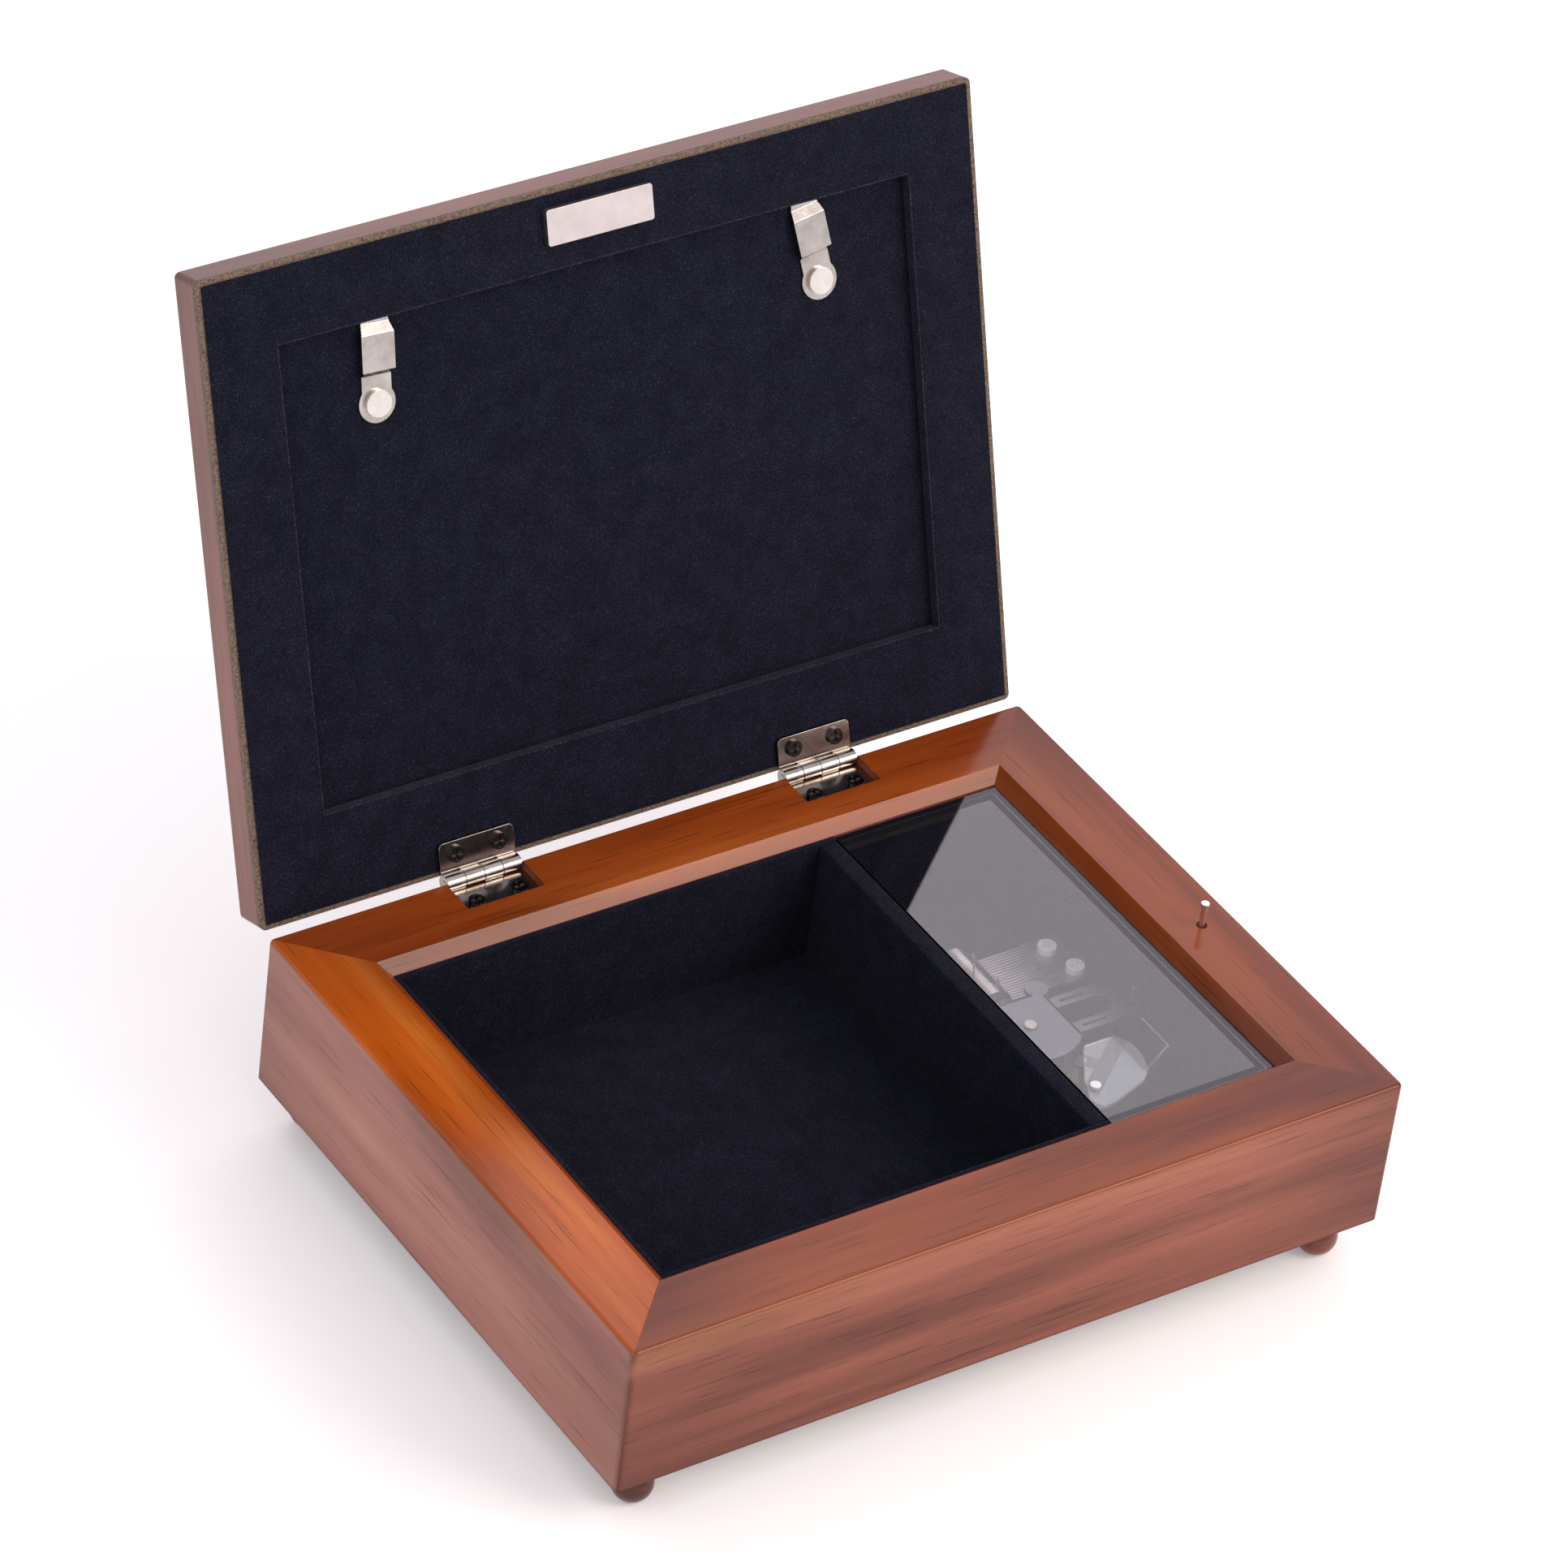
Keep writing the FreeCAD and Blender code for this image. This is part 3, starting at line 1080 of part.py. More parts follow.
tilt = math.radians(value("lever_tilt"))
bracket_front = value("bracket_y") - value("bracket_width") / 2
outer_y = bracket_front + value("bracket_arm") + value("wire_radius") + value("lever_gap")
fan_clear = fan_reach + value("wire_radius") + value("fan_gap")
pressed_x, inner_y = beside_wheel(value("fan_start") + value("fan_length") / 2, worm_distance + fan_clear)
pressed = (pressed_x - value("lever_x"), value("worm_z") + 2 * value("wire_radius") - value("lever_z"))
tip_x = value("lever_x") + pressed[0] * math.cos(tilt) - pressed[1] * math.sin(tilt)
tip_z = value("lever_z") + pressed[0] * math.sin(tilt) + pressed[1] * math.cos(tilt)
lever_points = [(value("stop_x") + value("lever_end"), value("stop_place"), value("lever_level")),
                (value("lever_x"), outer_y, value("lever_level")),
                (value("lever_x"), outer_y, value("lever_z")),
                (value("lever_x"), inner_y, value("lever_z")),
                (tip_x, inner_y, tip_z)]
part("stop_lever", drawn(bent_wire(lever_points, value("wire_radius"))))

# Check every object, then write one file for each piece
doc.recompute()
for thing in doc.Objects:
    if "Invalid" in thing.State or "Error" in thing.State:
        raise RuntimeError("%s failed: %s" % (thing.Label, thing.State))
for thing in parts:
    if thing.Shape.isNull() or not thing.Shape.isValid() or not thing.Shape.Solids:
        raise RuntimeError("%s has no valid solid" % thing.Label)
os.makedirs("parts", exist_ok=True)
lean = math.radians(value("open_angle"))
lid_reach = value("axis_y") + value("lid_front") * math.cos(lean) + value("lid_top") * math.sin(lean)
box_middle = (lid_reach - value("half_depth")) / 2
for thing in parts:
    shape = thing.Shape.copy()
    shape.translate(FreeCAD.Vector(0, -box_middle, 0))
    shape.exportStep("parts/%s.step" % thing.Label)
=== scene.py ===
import math

import bpy
from mathutils import Matrix, Vector


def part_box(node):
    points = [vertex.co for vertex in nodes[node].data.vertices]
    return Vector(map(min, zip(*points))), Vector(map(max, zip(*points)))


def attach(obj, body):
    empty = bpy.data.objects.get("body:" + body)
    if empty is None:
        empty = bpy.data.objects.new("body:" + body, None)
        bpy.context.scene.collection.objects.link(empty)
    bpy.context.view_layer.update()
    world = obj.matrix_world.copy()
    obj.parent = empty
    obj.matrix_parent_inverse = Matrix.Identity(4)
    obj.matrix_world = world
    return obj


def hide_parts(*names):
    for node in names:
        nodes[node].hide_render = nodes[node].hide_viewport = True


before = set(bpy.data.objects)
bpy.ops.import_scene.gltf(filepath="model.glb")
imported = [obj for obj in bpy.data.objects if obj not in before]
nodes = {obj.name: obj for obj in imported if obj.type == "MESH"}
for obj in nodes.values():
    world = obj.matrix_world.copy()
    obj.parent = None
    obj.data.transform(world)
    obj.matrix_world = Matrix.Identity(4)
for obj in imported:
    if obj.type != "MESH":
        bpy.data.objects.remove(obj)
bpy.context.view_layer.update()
bpy.ops.object.select_all(action="DESELECT")


# Case: four mitred walls with four chamfered rim rails glued on top, of a reddish brown hardwood.
# The boards are stained, darker at their ends and edges, and finished with a satin lacquer.
# The eye sees streaks and pores along each board under a clear coat that mirrors the room softly.
millimetre = 0.001


def linear(code):
    """A colour written as sRGB hex digits, as linear red, green, blue and alpha."""
    shares = [int(code[place:place + 2], 16) / 255 for place in (0, 2, 4)]
    return [s / 12.92 if s <= 0.04045 else ((s + 0.055) / 1.055) ** 2.4 for s in shares] + [1.0]


def add_node(tree, kind, inputs=None, stops=(), **settings):
    """A node with its settings, its inputs as plain values or sockets to link, and its colour stops."""
    node = tree.nodes.new(kind)
    for setting, value in settings.items():
        setattr(node, setting, value)
    for key, value in (inputs or {}).items():
        if isinstance(value, bpy.types.NodeSocket):
            tree.links.new(value, node.inputs[key])
        else:
            node.inputs[key].default_value = value
    if stops:
        elements = node.color_ramp.elements
        while len(elements) < len(stops):
            elements.new(0.5)
        for element, (place, code) in zip(elements, stops):
            element.position = place
            element.color = linear(code)
    return node


def new_material(name):
    """A material and its empty node tree."""
    material = bpy.data.materials.new(name)
    material.use_nodes = True
    material.node_tree.nodes.clear()
    return material, material.node_tree


def worn_edge(tree, reach):
    """A mask that rises towards the edges of a piece, where stain gathers."""
    rounded = add_node(tree, "ShaderNodeBevel", {"Radius": reach}, samples=6).outputs[0]
    flat = add_node(tree, "ShaderNodeNewGeometry").outputs["True Normal"]
    same = add_node(tree, "ShaderNodeVectorMath", {0: rounded, 1: flat}, operation="DOT_PRODUCT")
    turning = {"Value": same.outputs["Value"], "From Min": 0.98, "From Max": 0.72, "To Max": 0.8}
    return add_node(tree, "ShaderNodeMapRange", turning).outputs[0]


def lacquered_wood(name, along, top_colours, side_colours, seed, gloss=0.65, board=(0.0, 9.0), seam=-9.0,
                   lid_turn=0.0):
    """Wood with its grain along axis 0 (X) or 1 (Y), before the lid's turn about X.

    The stain is darker at the ends of the board, given as its middle and half length, and along the
    edges, except round upward faces and at the height of the glued seam, which is sanded flush.
    """
    material, tree = new_material(name)
    coordinates = add_node(tree, "ShaderNodeTexCoord").outputs
    place = add_node(tree, "ShaderNodeSeparateXYZ", {0: coordinates["Object"]}).outputs
    facing = add_node(tree, "ShaderNodeSeparateXYZ", {0: coordinates["Normal"]}).outputs
    turned = add_node(tree, "ShaderNodeMapping", {"Vector": coordinates["Object"],
                                                  "Location": (seed, seed, seed),
                                                  "Rotation": (lid_turn, 0.0, 0.0)}).outputs[0]

    def grain(length, width, detail, roughness):
        """Noise drawn out along the grain, in marks of this length and width in millimetres."""
        scale = [1 / (width * millimetre)] * 3
        scale[along] = 1 / (length * millimetre)
        drawn_out = add_node(tree, "ShaderNodeMapping", {"Vector": turned, "Scale": scale}).outputs[0]
        marks = {"Vector": drawn_out, "Scale": 1.0, "Detail": detail, "Roughness": roughness}
        return add_node(tree, "ShaderNodeTexNoise", marks).outputs["Fac"]

    # Streaks take one set of colours on the sides and another on the faces that look up.
    streaks = grain(286.0, 14.3, detail=3.0, roughness=0.55)
    places = (0.28, 0.44, 0.56, 0.72)
    side, top = [add_node(tree, "ShaderNodeValToRGB", {"Fac": streaks}, list(zip(places, colours))).outputs[0]
                 for colours in (side_colours, top_colours)]
    upward = add_node(tree, "ShaderNodeMapRange", {"Value": facing[2], "From Min": 0.3,
                                                   "From Max": 0.6}).outputs[0]

    # Clouds of stain lie under the pores, which are drawn coarser than real ones so that they show.
    clouds = grain(143.0, 26.3, detail=3.0, roughness=0.5)
    shade = add_node(tree, "ShaderNodeValToRGB", {"Fac": clouds},
                     [(0.32, "7d6055"), (0.50, "e8e0dc"), (0.66, "ffffff")]).outputs[0]
    pores = grain(25.0, 0.5263, detail=2.0, roughness=0.5)
    pore_shade = add_node(tree, "ShaderNodeValToRGB", {"Fac": pores},
                          [(0.29, "6a4636"), (0.40, "ffffff")]).outputs[0]

    # The ends of the board are darker over the last stretch of its length.
    board_middle, board_half = board
    end_reach = 50 * millimetre
    along_board = add_node(tree, "ShaderNodeMath", {0: place[along], 1: board_middle}, operation="SUBTRACT")
    from_middle = add_node(tree, "ShaderNodeMath", {0: along_board.outputs[0]}, operation="ABSOLUTE")
    ends = add_node(tree, "ShaderNodeMapRange", {"Value": from_middle.outputs[0],
                                                 "From Min": board_half - end_reach, "From Max": board_half,
                                                 "To Max": 0.35}).outputs[0]

    # The edges are darker too, but for the seam between wall and rail.
    above_seam = add_node(tree, "ShaderNodeMath", {0: place[2], 1: seam}, operation="SUBTRACT")
    from_seam = add_node(tree, "ShaderNodeMath", {0: above_seam.outputs[0]}, operation="ABSOLUTE")
    off_seam = add_node(tree, "ShaderNodeMapRange", {"Value": from_seam.outputs[0],
                                                     "From Min": 1.2 * millimetre,
                                                     "From Max": 3.5 * millimetre})
    on_side = add_node(tree, "ShaderNodeMath", {0: off_seam.outputs[0], 1: upward}, operation="SUBTRACT")
    open_edge = add_node(tree, "ShaderNodeMath", {0: on_side.outputs[0], 1: 0.0}, operation="MAXIMUM")
    edge_mask = worn_edge(tree, 2.2 * millimetre)
    edges = add_node(tree, "ShaderNodeMath", {0: edge_mask, 1: open_edge.outputs[0]},
                     operation="MULTIPLY").outputs[0]

    colour = side
    for share, layer, blend in ((upward, top, "MIX"), (0.6, shade, "MULTIPLY"),
                                (0.55, pore_shade, "MULTIPLY"), (ends, linear("4a211a"), "MIX"),
                                (edges, linear("35190f"), "MIX")):
        colour = add_node(tree, "ShaderNodeMix", {0: share, 6: colour, 7: layer}, data_type="RGBA",
                          blend_type=blend).outputs[2]
    ripple = grain(40.0, 6.25, detail=2.0, roughness=0.5)
    bump = add_node(tree, "ShaderNodeBump", {"Height": ripple, "Strength": 0.1, "Distance": 0.5 * millimetre})
    shader = add_node(tree, "ShaderNodeBsdfPrincipled", {
        "Base Color": colour, "Roughness": 0.7, "Specular IOR Level": 0.0, "Coat Weight": gloss,
        "Coat Roughness": 0.15, "Coat IOR": 1.5, "Coat Normal": bump.outputs[0]})
    add_node(tree, "ShaderNodeOutputMaterial", {"Surface": shader.outputs[0]})
    return material


def paint(material, *names):
    """Gives CAD pieces their one material."""
    for name in names:
        mesh = nodes[name].data
        mesh.materials.clear()
        mesh.materials.append(material)


def board_of(name, axis):
    """The middle and half length of a board along an axis."""
    low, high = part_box(name)
    return (low[axis] + high[axis]) / 2, (high[axis] - low[axis]) / 2


# Each side takes its own palette as painted light: the left and right walls are painted lighter than the
# front
# and back walls, the left rail a brighter lit orange, and the front and right rails darker, as painted shade.
front_colours = ("723e2f", "905140", "9c5d49", "b3734f")
side_colours = ("925c50", "a26b5c", "aa7564", "b5806e")
shaded_near_rim = ("6c2c11", "813a14", "8b431c", "9d5228")
lit_left_rim = ("9c430c", "b55411", "c15e18", "d2752c")
back_rim = ("722d0c", "8d3f13", "9a491a", "ad5b27")
seam_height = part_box("rim_front_rail")[0][2]
for side, along, rim, wall, seed in (("front", 0, shaded_near_rim, front_colours, 0.0),
                                     ("right", 1, shaded_near_rim, side_colours, 0.28),
                                     ("left", 1, lit_left_rim, side_colours, 0.52),
                                     ("back", 0, back_rim, front_colours, 0.83)):
    wall_name, rail_name = "case_%s_wall" % side, "rim_%s_rail" % side
    board = board_of(wall_name, along)
    side_wood = lacquered_wood(side + "_wood", along, rim, wall, seed, board=board, seam=seam_height)
    paint(side_wood, wall_name, rail_name)


# Lid frame: four rails of the same stained hardwood, mitred and glued at the corners.
# The lacquer is glossier than the case's, and the grain follows the lid, which stands open past upright.
lid_open = math.radians(108.4)
lid_colours = ("5e2f25", "713b2e", "7c4536", "8a5442")
for name, along, seed, rails in (("lid_cross_wood", 0, 0.71, ("lid_front_rail", "lid_back_rail")),
                                 ("lid_long_wood", 1, 0.93, ("lid_left_rail", "lid_right_rail"))):
    paint(lacquered_wood(name, along, lid_colours, lid_colours, seed, gloss=1.0, lid_turn=lid_open), *rails)


# Ball feet: four balls turned from the same hardwood and glued under the corners of the case.
# They are stained darker than the boards, with a full gloss that catches one small highlight.
foot_colours = ("4a1c12", "5f2619", "6e3020", "80402b")
paint(lacquered_wood("turned_foot_wood", 0, foot_colours, foot_colours, 1.3, gloss=1.0), "ball_feet")


# Bottom panel and glass ledges: a thin pressed board under the case, and the strips that carry the pane.
# Both are painted near black, as painted shade for the dark of the movement bay.
def plain_board(name, dark, light, speck):
    """Pressed board or card: two near colours in specks of a size in millimetres."""
    material, tree = new_material(name)
    place = add_node(tree, "ShaderNodeTexCoord").outputs["Object"]
    specks = add_node(tree, "ShaderNodeTexNoise", {"Vector": place, "Scale": 1 / (speck * millimetre),
                                                   "Detail": 4.0, "Roughness": 0.7}).outputs["Fac"]
    colour = add_node(tree, "ShaderNodeValToRGB", {"Fac": specks}, [(0.35, dark), (0.65, light)]).outputs[0]
    shader = add_node(tree, "ShaderNodeBsdfPrincipled", {"Base Color": colour, "Roughness": 0.85})
    add_node(tree, "ShaderNodeOutputMaterial", {"Surface": shader.outputs[0]})
    return material


# Painted shade: the bottom panel and the ledges are drawn near black.
paint(plain_board("board_painted_in_shade", "0c0b0e", "131216", speck=1.11), "bottom_panel", "glass_ledges")


# Border board of the lid: fibre board cut to a frame and fixed to the rails, under the velvet.
# Its raw sawn edge shows as a thin grey brown line round the lining.
paint(plain_board("raw_fibre_board", "3d2f29", "85705f", speck=0.625), "lid_border_board")


# Photo card: a blank sheet of matt white card, laid face out behind the lid's own glass.
# It stands in for the picture that an owner would put there.
paint(plain_board("white_card", "d8d6d0", "e8e6e1", speck=1.67), "photo_card")


# Velvet lining: boards wrapped in a short navy black pile, which line the tray, the bay and the lid.
# Cloth is folded round each board and glued, so the edges are rounded; the pile gives a soft dull sheen.
# Each board is drawn as a wrapped slab in place of the CAD's plain one.
def velvet_material(name, root, pile_colour, tip):
    """Short pile with pale fibre tips, drawn coarser than real so that it shows, and a brushed nap."""
    pile_size, nap_size = 0.435 * millimetre, 7.14 * millimetre
    material, tree = new_material(name)
    place = add_node(tree, "ShaderNodeTexCoord").outputs["Object"]
    pile = add_node(tree, "ShaderNodeTexNoise", {"Vector": place, "Scale": 1 / pile_size,
                                                 "Detail": 4.0, "Roughness": 0.75}).outputs["Fac"]
    nap = add_node(tree, "ShaderNodeTexNoise", {"Vector": place, "Scale": 1 / nap_size,
                                                "Detail": 3.0, "Roughness": 0.6}).outputs["Fac"]
    fibres = add_node(tree, "ShaderNodeValToRGB", {"Fac": pile},
                      [(0.36, root), (0.55, pile_colour), (0.72, tip)]).outputs[0]
    lay = add_node(tree, "ShaderNodeValToRGB", {"Fac": nap}, [(0.35, "d4d4da"), (0.65, "ffffff")]).outputs[0]
    colour = add_node(tree, "ShaderNodeMix", {0: 1.0, 6: fibres, 7: lay}, data_type="RGBA",
                      blend_type="MULTIPLY").outputs[2]
    bump = add_node(tree, "ShaderNodeBump", {"Height": pile, "Strength": 0.5, "Distance": 0.4 * millimetre})
    shader = add_node(tree, "ShaderNodeBsdfPrincipled", {
        "Base Color": colour, "Roughness": 0.95, "Specular IOR Level": 0.1, "Normal": bump.outputs[0],
        "Sheen Weight": 0.1, "Sheen Roughness": 0.35, "Sheen Tint": linear("b9b9c8")})
    add_node(tree, "ShaderNodeOutputMaterial", {"Surface": shader.outputs[0]})
    return material


velvet = velvet_material("navy_velvet", "0d0e18", "191b29", "3c3f52")


def take_up(piece):
    """Makes a piece the only one selected, and the active one."""
    bpy.ops.object.select_all(action="DESELECT")
    bpy.context.view_layer.objects.active = piece
    piece.select_set(True)


def slab(name, low, high):
    """A box between two corners, at the origin, unturned and unscaled."""
    low, high = Vector(low), Vector(high)
    bpy.ops.mesh.primitive_cube_add(size=1.0, location=(low + high) / 2)
    piece = bpy.context.object
    piece.name = name
    piece.scale = high - low
    bpy.ops.object.transform_apply(location=True, rotation=True, scale=True)
    return piece


def cut_away(piece, low, high):
    """Takes a box out of a piece."""
    cutter = slab("cutter", low, high)
    take_up(piece)
    cut = piece.modifiers.new("cut", "BOOLEAN")
    cut.object = cutter
    cut.operation = "DIFFERENCE"
    cut.solver = "EXACT"
    bpy.ops.object.modifier_apply(modifier="cut")
    bpy.data.objects.remove(cutter)


def wrap(piece, fold, body, *replaced):
    """Rounds a slab's edges by the fold of the cloth, gives it velvet and its place in the frame."""
    take_up(piece)
    soften = piece.modifiers.new("fold", "BEVEL")
    soften.width = fold
    soften.segments = 4
    soften.limit_method = "ANGLE"
    bpy.ops.object.modifier_apply(modifier="fold")
    bpy.ops.object.shade_smooth_by_angle(angle=math.radians(50))
    if not piece.data.materials:
        piece.data.materials.append(velvet)
    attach(piece, body)
    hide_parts(*replaced)
    piece.select_set(False)


edge_fold = 0.5 * millimetre
divider_fold = 0.7 * millimetre
overshoot = 1.2 * millimetre
pane_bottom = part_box("glass_pane")[0][2]
divider_low, divider_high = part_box("divider")
for side in ("front", "back"):
    low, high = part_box(side + "_liner")
    liner = slab(side + "_velvet_liner", low, high)
    cut_away(liner, (divider_high[0], low[1] - overshoot, pane_bottom),
             (high[0] + overshoot, high[1] + overshoot, high[2] + overshoot))
    wrap(liner, edge_fold, "case", side + "_liner")
wrap(slab("left_velvet_liner", *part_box("left_liner")), edge_fold, "case", "left_liner")
wrap(slab("velvet_tray_pad", *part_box("tray_floor_pad")), edge_fold, "case", "tray_floor_pad")
wrap(slab("velvet_divider", divider_low, divider_high), divider_fold, "case", "divider")


# Right liner: the same velvet over board, which lines the movement bay below the pane.
# A slot is cut in it for the wire of the stop lever, which rises beside it to the pin in the rail.
wire_room = 1.2 * millimetre
wire_reach = 3.0 * millimetre
lever_drop = 8.0 * millimetre
liner_low, liner_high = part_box("right_liner")
lever_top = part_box("stop_lever")[1][2]
pin_low, pin_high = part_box("stop_pin")
wire_place = (pin_low[1] + pin_high[1]) / 2
right_liner = slab("right_velvet_liner", liner_low, liner_high)
cut_away(right_liner, (liner_low[0] - overshoot, wire_place - wire_room, lever_top - lever_drop),
         (liner_high[0] + overshoot, wire_place + wire_reach, lever_top + wire_room))
wrap(right_liner, edge_fold, "case", "right_liner")


# Lid lining: velvet glued over the border board, with a fold of it down the sides of the recess drawn paler
# as a painted highlight,
# and the velvet back panel that lies in the recess and is held there by the clips.
# Both are drawn as they lie with the lid shut, measured from the hinge axis, and then swung open.
hinge_low, hinge_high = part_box("hinge_pins")
hinge_axis = (0.0, (hinge_low[1] + hinge_high[1]) / 2, (hinge_low[2] + hinge_high[2]) / 2)
on_lid = Matrix.Translation(hinge_axis) @ Matrix.Rotation(-lid_open, 4, "X")


def shut_box(name):
    """The low and high corners of a lid piece as it lies with the lid shut, from the hinge axis."""
    to_shut = on_lid.inverted()
    points = [to_shut @ vertex.co for vertex in nodes[name].data.vertices]
    return [[pick(point[axis] for point in points) for axis in range(3)] for pick in (min, max)]


def open_up(piece):
    """Swings a piece drawn with the lid shut to where the lid stands."""
    take_up(piece)
    piece.matrix_world = on_lid
    bpy.ops.object.transform_apply(location=True, rotation=True, scale=True)


panel_gap = 0.3 * millimetre
pile_room = 0.1 * millimetre
lip_width = 0.6 * millimetre
border_fold = 0.2 * millimetre
panel_fold = 0.6 * millimetre
cloth_low, cloth_high = shut_box("lid_border_velvet")
panel_low, panel_high = shut_box("lid_back_panel")
recess_left, recess_right = panel_low[0] - panel_gap, panel_high[0] + panel_gap
recess_front, recess_back = panel_low[1] - panel_gap, panel_high[1] + panel_gap
cut_bottom, cut_top = cloth_low[2] - overshoot, panel_low[2] + overshoot

border = slab("velvet_lid_border", cloth_low, cloth_high)
cut_away(border, (recess_left, recess_front, cut_bottom), (recess_right, recess_back, cut_top))
border.data.materials.append(velvet)
lip = slab("recess_lip", (recess_left, recess_front, cloth_low[2]), (recess_right, recess_back, panel_low[2]))
cut_away(lip, (recess_left + lip_width, recess_front + lip_width, cut_bottom),
         (recess_right - lip_width, recess_back - lip_width, cut_top))
# Painted highlight: the fold round the recess takes a paler velvet, where its edge catches the light.
lip.data.materials.append(velvet_material("velvet_fold_highlight", "15151f", "2a2a38", "5c5c6e"))
take_up(border)
lip.select_set(True)
bpy.ops.object.join()
open_up(border)
wrap(border, border_fold, "lid", "lid_border_velvet")

panel = slab("velvet_back_panel", (panel_low[0], panel_low[1], panel_low[2] + pile_room), panel_high)
open_up(panel)
wrap(panel, panel_fold, "lid", "lid_back_panel")


# Glass: a float pane that drops onto ledges over the movement bay, and another that glazes the lid.
# Both are clear and polished with faint smears; the bay pane's cut edges are painted near black as painted
# shade under the rim.
def clear_material(name, tint, index, haze, clearness, shade_painted_edges=False):
    """Clear glass or plastic, which lets the light for shadows and soft bounces straight through.

    The edge option paints the upright faces of a pane that lies level near black, as painted shade.
    """
    smear_size = 16.7 * millimetre
    material, tree = new_material(name)
    coordinates = add_node(tree, "ShaderNodeTexCoord").outputs
    smears = add_node(tree, "ShaderNodeTexNoise", {"Vector": coordinates["Object"], "Scale": 1 / smear_size,
                                                   "Detail": 2.0, "Roughness": 0.5}).outputs["Fac"]
    dullness = add_node(tree, "ShaderNodeMapRange", {"Value": smears, "To Max": haze}).outputs[0]
    clear = add_node(tree, "ShaderNodeBsdfPrincipled", {
        "Base Color": linear(tint), "Roughness": dullness, "Transmission Weight": clearness, "IOR": index})
    path = add_node(tree, "ShaderNodeLightPath").outputs
    passing = add_node(tree, "ShaderNodeMath", {0: path["Is Shadow Ray"], 1: path["Is Diffuse Ray"]},
                       operation="MAXIMUM").outputs[0]
    open_air = add_node(tree, "ShaderNodeBsdfTransparent", {"Color": linear(tint)})
    surface = add_node(tree, "ShaderNodeMixShader", {0: passing, 1: clear.outputs[0],
                                                     2: open_air.outputs[0]}).outputs[0]
    # Painted shade: the upright faces of the level pane turn near black.
    if shade_painted_edges:
        upward = add_node(tree, "ShaderNodeSeparateXYZ", {0: coordinates["Normal"]}).outputs[2]
        level = add_node(tree, "ShaderNodeMath", {0: upward}, operation="ABSOLUTE").outputs[0]
        flat = add_node(tree, "ShaderNodeMapRange", {"Value": level, "From Min": 0.4,
                                                     "From Max": 0.6}).outputs[0]
        edge_shade_paint = add_node(tree, "ShaderNodeBsdfDiffuse", {"Color": linear("16151a")}).outputs[0]
        surface = add_node(tree, "ShaderNodeMixShader", {0: flat, 1: edge_shade_paint, 2: surface}).outputs[0]
    add_node(tree, "ShaderNodeOutputMaterial", {"Surface": surface})
    return material


float_glass = {"tint": "f4f4f6", "index": 1.52, "haze": 0.01, "clearness": 1.0}
paint(clear_material("lid_glass", **float_glass), "lid_glass")
paint(clear_material("bay_glass", **float_glass, shade_painted_edges=True), "glass_pane")


# Governor cover: a small box moulded of clear plastic, set over the fan to keep dust and fingers off.
# It is a little cloudy beside the glass, so the governor shows through it softened.
paint(clear_material("clear_plastic", tint="e6eef0", index=1.49, haze=0.12, clearness=0.85), "governor_cover")


# Hinges and key: leaves rolled from sheet steel round plain pins, and a stamped winding key.
# All are nickel plated and softly polished, with fine tarnish and faint scratches.
def metal_material(name, dark, light, roughness, scratch, metallic=1.0):
    """Bare or plated metal, with patchy tarnish and scratches of a size in millimetres."""
    tarnish_size = 6.67 * millimetre
    material, tree = new_material(name)
    place = add_node(tree, "ShaderNodeTexCoord").outputs["Object"]
    tarnish = add_node(tree, "ShaderNodeTexNoise", {"Vector": place, "Scale": 1 / tarnish_size,
                                                    "Detail": 4.0, "Roughness": 0.6}).outputs["Fac"]
    colour = add_node(tree, "ShaderNodeValToRGB", {"Fac": tarnish}, [(0.3, dark), (0.7, light)]).outputs[0]
    scratches = add_node(tree, "ShaderNodeTexNoise", {"Vector": place, "Scale": 1 / (scratch * millimetre),
                                                      "Detail": 2.0, "Roughness": 0.6}).outputs["Fac"]
    polish = add_node(tree, "ShaderNodeMapRange", {"Value": scratches, "To Min": roughness * 0.7,
                                                   "To Max": roughness * 1.3}).outputs[0]
    edge = add_node(tree, "ShaderNodeBevel", {"Radius": 0.3 * millimetre}, samples=4).outputs[0]
    bump = add_node(tree, "ShaderNodeBump", {"Height": scratches, "Strength": 0.03,
                                             "Distance": 0.2 * millimetre, "Normal": edge}).outputs[0]
    shader = add_node(tree, "ShaderNodeBsdfPrincipled", {
        "Base Color": colour, "Roughness": polish, "Normal": bump, "Metallic": metallic})
    add_node(tree, "ShaderNodeOutputMaterial", {"Surface": shader.outputs[0]})
    return material


nickel = metal_material("nickel_plate", "948c85", "bdb6af", roughness=0.13, scratch=0.833)
paint(nickel, "left_base_leaf", "right_base_leaf", "left_lid_leaf", "right_lid_leaf", "hinge_pins",
      "winding_key")


# Clips: cranked strips of spring steel that swivel on rivets and hold the lid's back panel in.
# Both are drawn in a brighter nickel than the hinges as a painted highlight, and the rivets are painted
# brightest of all.
# Painted highlight: the clips and rivets are lighter than the hinge nickel.
clip_nickel_painted_highlight = metal_material("clip_nickel_painted_highlight", "a8a19b", "cbc5bf", roughness=0.18, scratch=1.11)
paint(clip_nickel_painted_highlight, "left_clip", "right_clip")
rivet_nickel_painted_highlight = metal_material("rivet_nickel_painted_highlight", "d3cdc8", "e8e3de", roughness=0.25, scratch=1.11)
paint(rivet_nickel_painted_highlight, "clip_rivets")


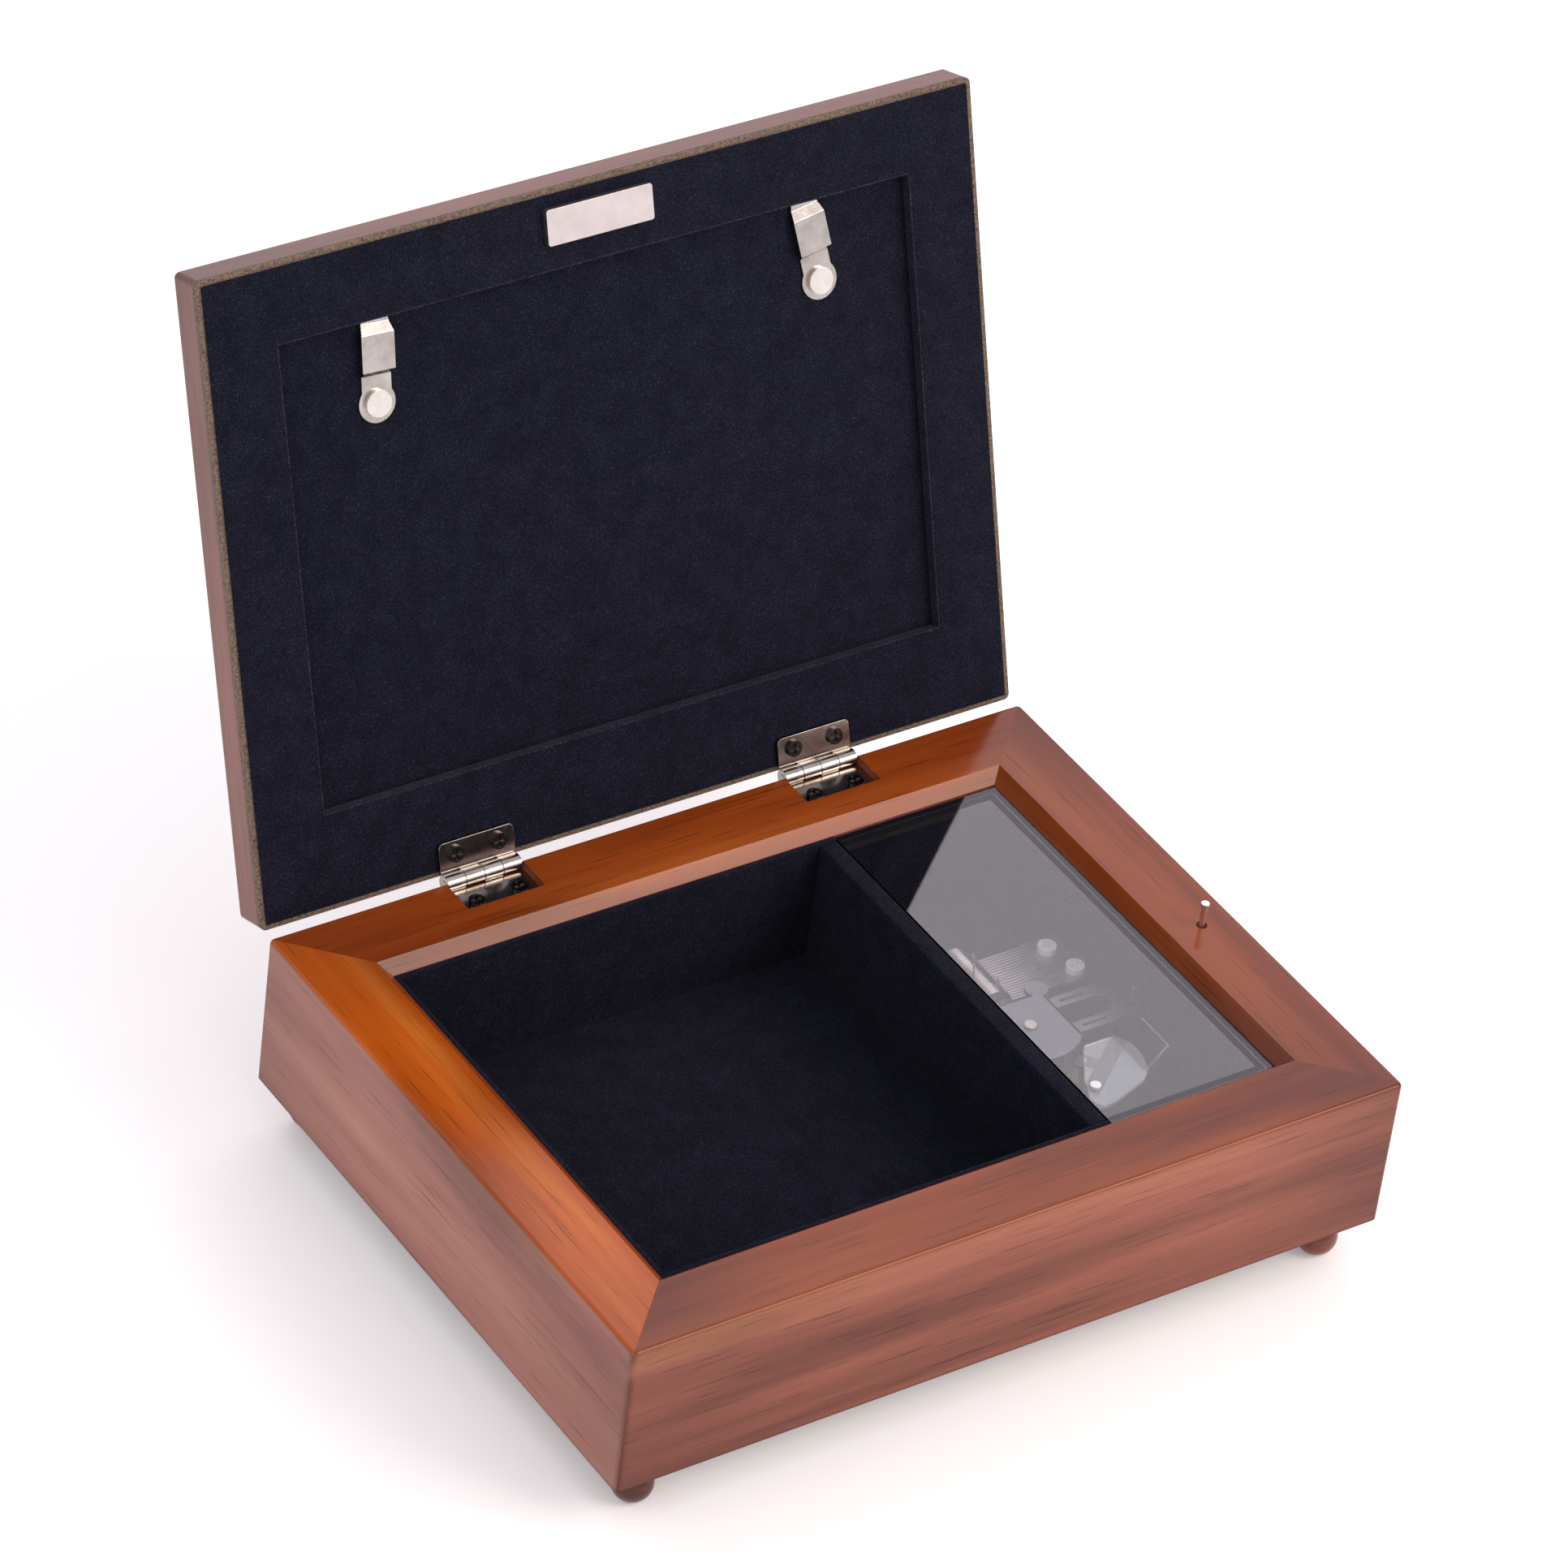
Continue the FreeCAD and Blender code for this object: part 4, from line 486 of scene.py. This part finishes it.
# Stop pin: a turned steel pin that slides in the right rail and is pressed down by the closing lid.
# It is bright and a little satin, so it reads as a pale stroke against the wood.
paint(metal_material("bright_pin", "d9d3cd", "efeae5", roughness=0.3, scratch=0.667), "stop_pin")


# Name plate: a thin plain metal plate stuck to the velvet at the top of the lid.
# It is brushed nearly white and left without lettering.
paint(metal_material("brushed_plate", "c6bdbd", "d3cbcb", roughness=0.35, scratch=0.4), "name_plate")


# Hinge screws: pan head screws with a cross recess that hold the leaves to the rail and the lid.
# Their dark plating makes them stand out from the nickel.
dark_plating = metal_material("dark_screws", "353332", "524e4b", roughness=0.22, scratch=0.667)
paint(dark_plating, "base_leaf_screws", "lid_leaf_screws")


# Movement: a cast zinc bedplate screwed to the bottom panel, which carries the drum, comb and governor.
# The bridge and brackets are dull stamped steel, the comb is ground, and cylinder and arbors are bright.
# The one brass wheel is tarnished brown, and the screws on the comb and governor are drawn near white as a
# painted highlight.
zinc = metal_material("zinc_casting", "3a393d", "4d4c50", roughness=0.45, scratch=1.43)
paint(zinc, "bedplate", "governor_frame", "spring_drum")
dull_steel = metal_material("dull_steel", "5d5b60", "6e6c70", roughness=0.4, scratch=1.11)
paint(dull_steel, "drum_bridge", "stop_bracket", "mainspring", "governor_fan")
paint(metal_material("ground_steel", "8b898c", "a3a1a3", roughness=0.4, scratch=0.556), "comb")
# Painted highlight: the comb and governor screws are near white and hardly metallic.
screws_painted_bright = metal_material("screws_painted_highlight", "eef1f2", "ffffff", roughness=0.2, scratch=0.667, metallic=0.2)
paint(screws_painted_bright, "comb_screws", "governor_screw")
bright_steel = metal_material("bright_steel", "8f8a84", "b3ada3", roughness=0.25, scratch=0.667)
paint(bright_steel, "note_cylinder", "cylinder_arbor", "winding_arbor", "governor_worm", "stop_lever",
      "bedplate_screws")
brass = metal_material("tarnished_brass", "574a36", "6b5d46", roughness=0.35, scratch=1.11)
paint(brass, "governor_wheel")


# Floor and light: a matt white studio floor that keeps a soft shadow, under a white sky.
# A warm softbox stands front right, and a large pale panel behind the box gives the glass its sheen.
bpy.ops.mesh.primitive_plane_add(size=8.0, location=(0.0, 0.0, 0.0))
floor = bpy.context.object
floor.name = "studio_floor"
studio_white, floor_tree = new_material("studio_white")
floor_shader = add_node(floor_tree, "ShaderNodeBsdfPrincipled", {
    "Base Color": linear("f4f4f4"), "Roughness": 0.9, "Specular IOR Level": 0.0,
    "Emission Color": linear("ffffff"), "Emission Strength": 0.2})
add_node(floor_tree, "ShaderNodeOutputMaterial", {"Surface": floor_shader.outputs[0]})
floor.data.materials.append(studio_white)

world = bpy.data.worlds.new("white_studio")
bpy.context.scene.world = world
world.use_nodes = True
sky = world.node_tree.nodes["Background"]
sky.inputs["Color"].default_value = (1.0, 0.96, 1.0, 1.0)
sky.inputs["Strength"].default_value = 0.93


def softbox(name, place, wide, high, power, colour):
    """A rectangular light that faces the box."""
    bpy.ops.object.light_add(type="AREA", location=place)
    light = bpy.context.object
    light.name = name
    light.data.shape = "RECTANGLE"
    light.data.size = wide
    light.data.size_y = high
    light.data.energy = power
    light.data.color = colour
    light.rotation_euler = (-Vector(place)).to_track_quat("-Z", "Y").to_euler()


softbox("front_softbox", place=(0.97, -1.26, 1.22), wide=1.0, high=1.0, power=17.0, colour=(1.0, 0.87, 0.76))
softbox("back_panel_light", place=(1.2, 1.6, 1.6), wide=2.0, high=1.4, power=9.0, colour=(1.0, 0.9, 1.0))


# Camera: a long lens from front left and above, at the photograph's viewing angle.
bpy.ops.object.camera_add(location=(-1.0001, -1.29668, 1.36189),
                          rotation=[math.radians(turn) for turn in (52.315, -6.11, -32.954)])
camera = bpy.context.object
camera.data.sensor_width = 36.0
camera.data.lens = 185.05
camera.data.clip_end = 20.0
bpy.context.scene.camera = camera

view = bpy.context.scene.view_settings
view.view_transform = "Standard"
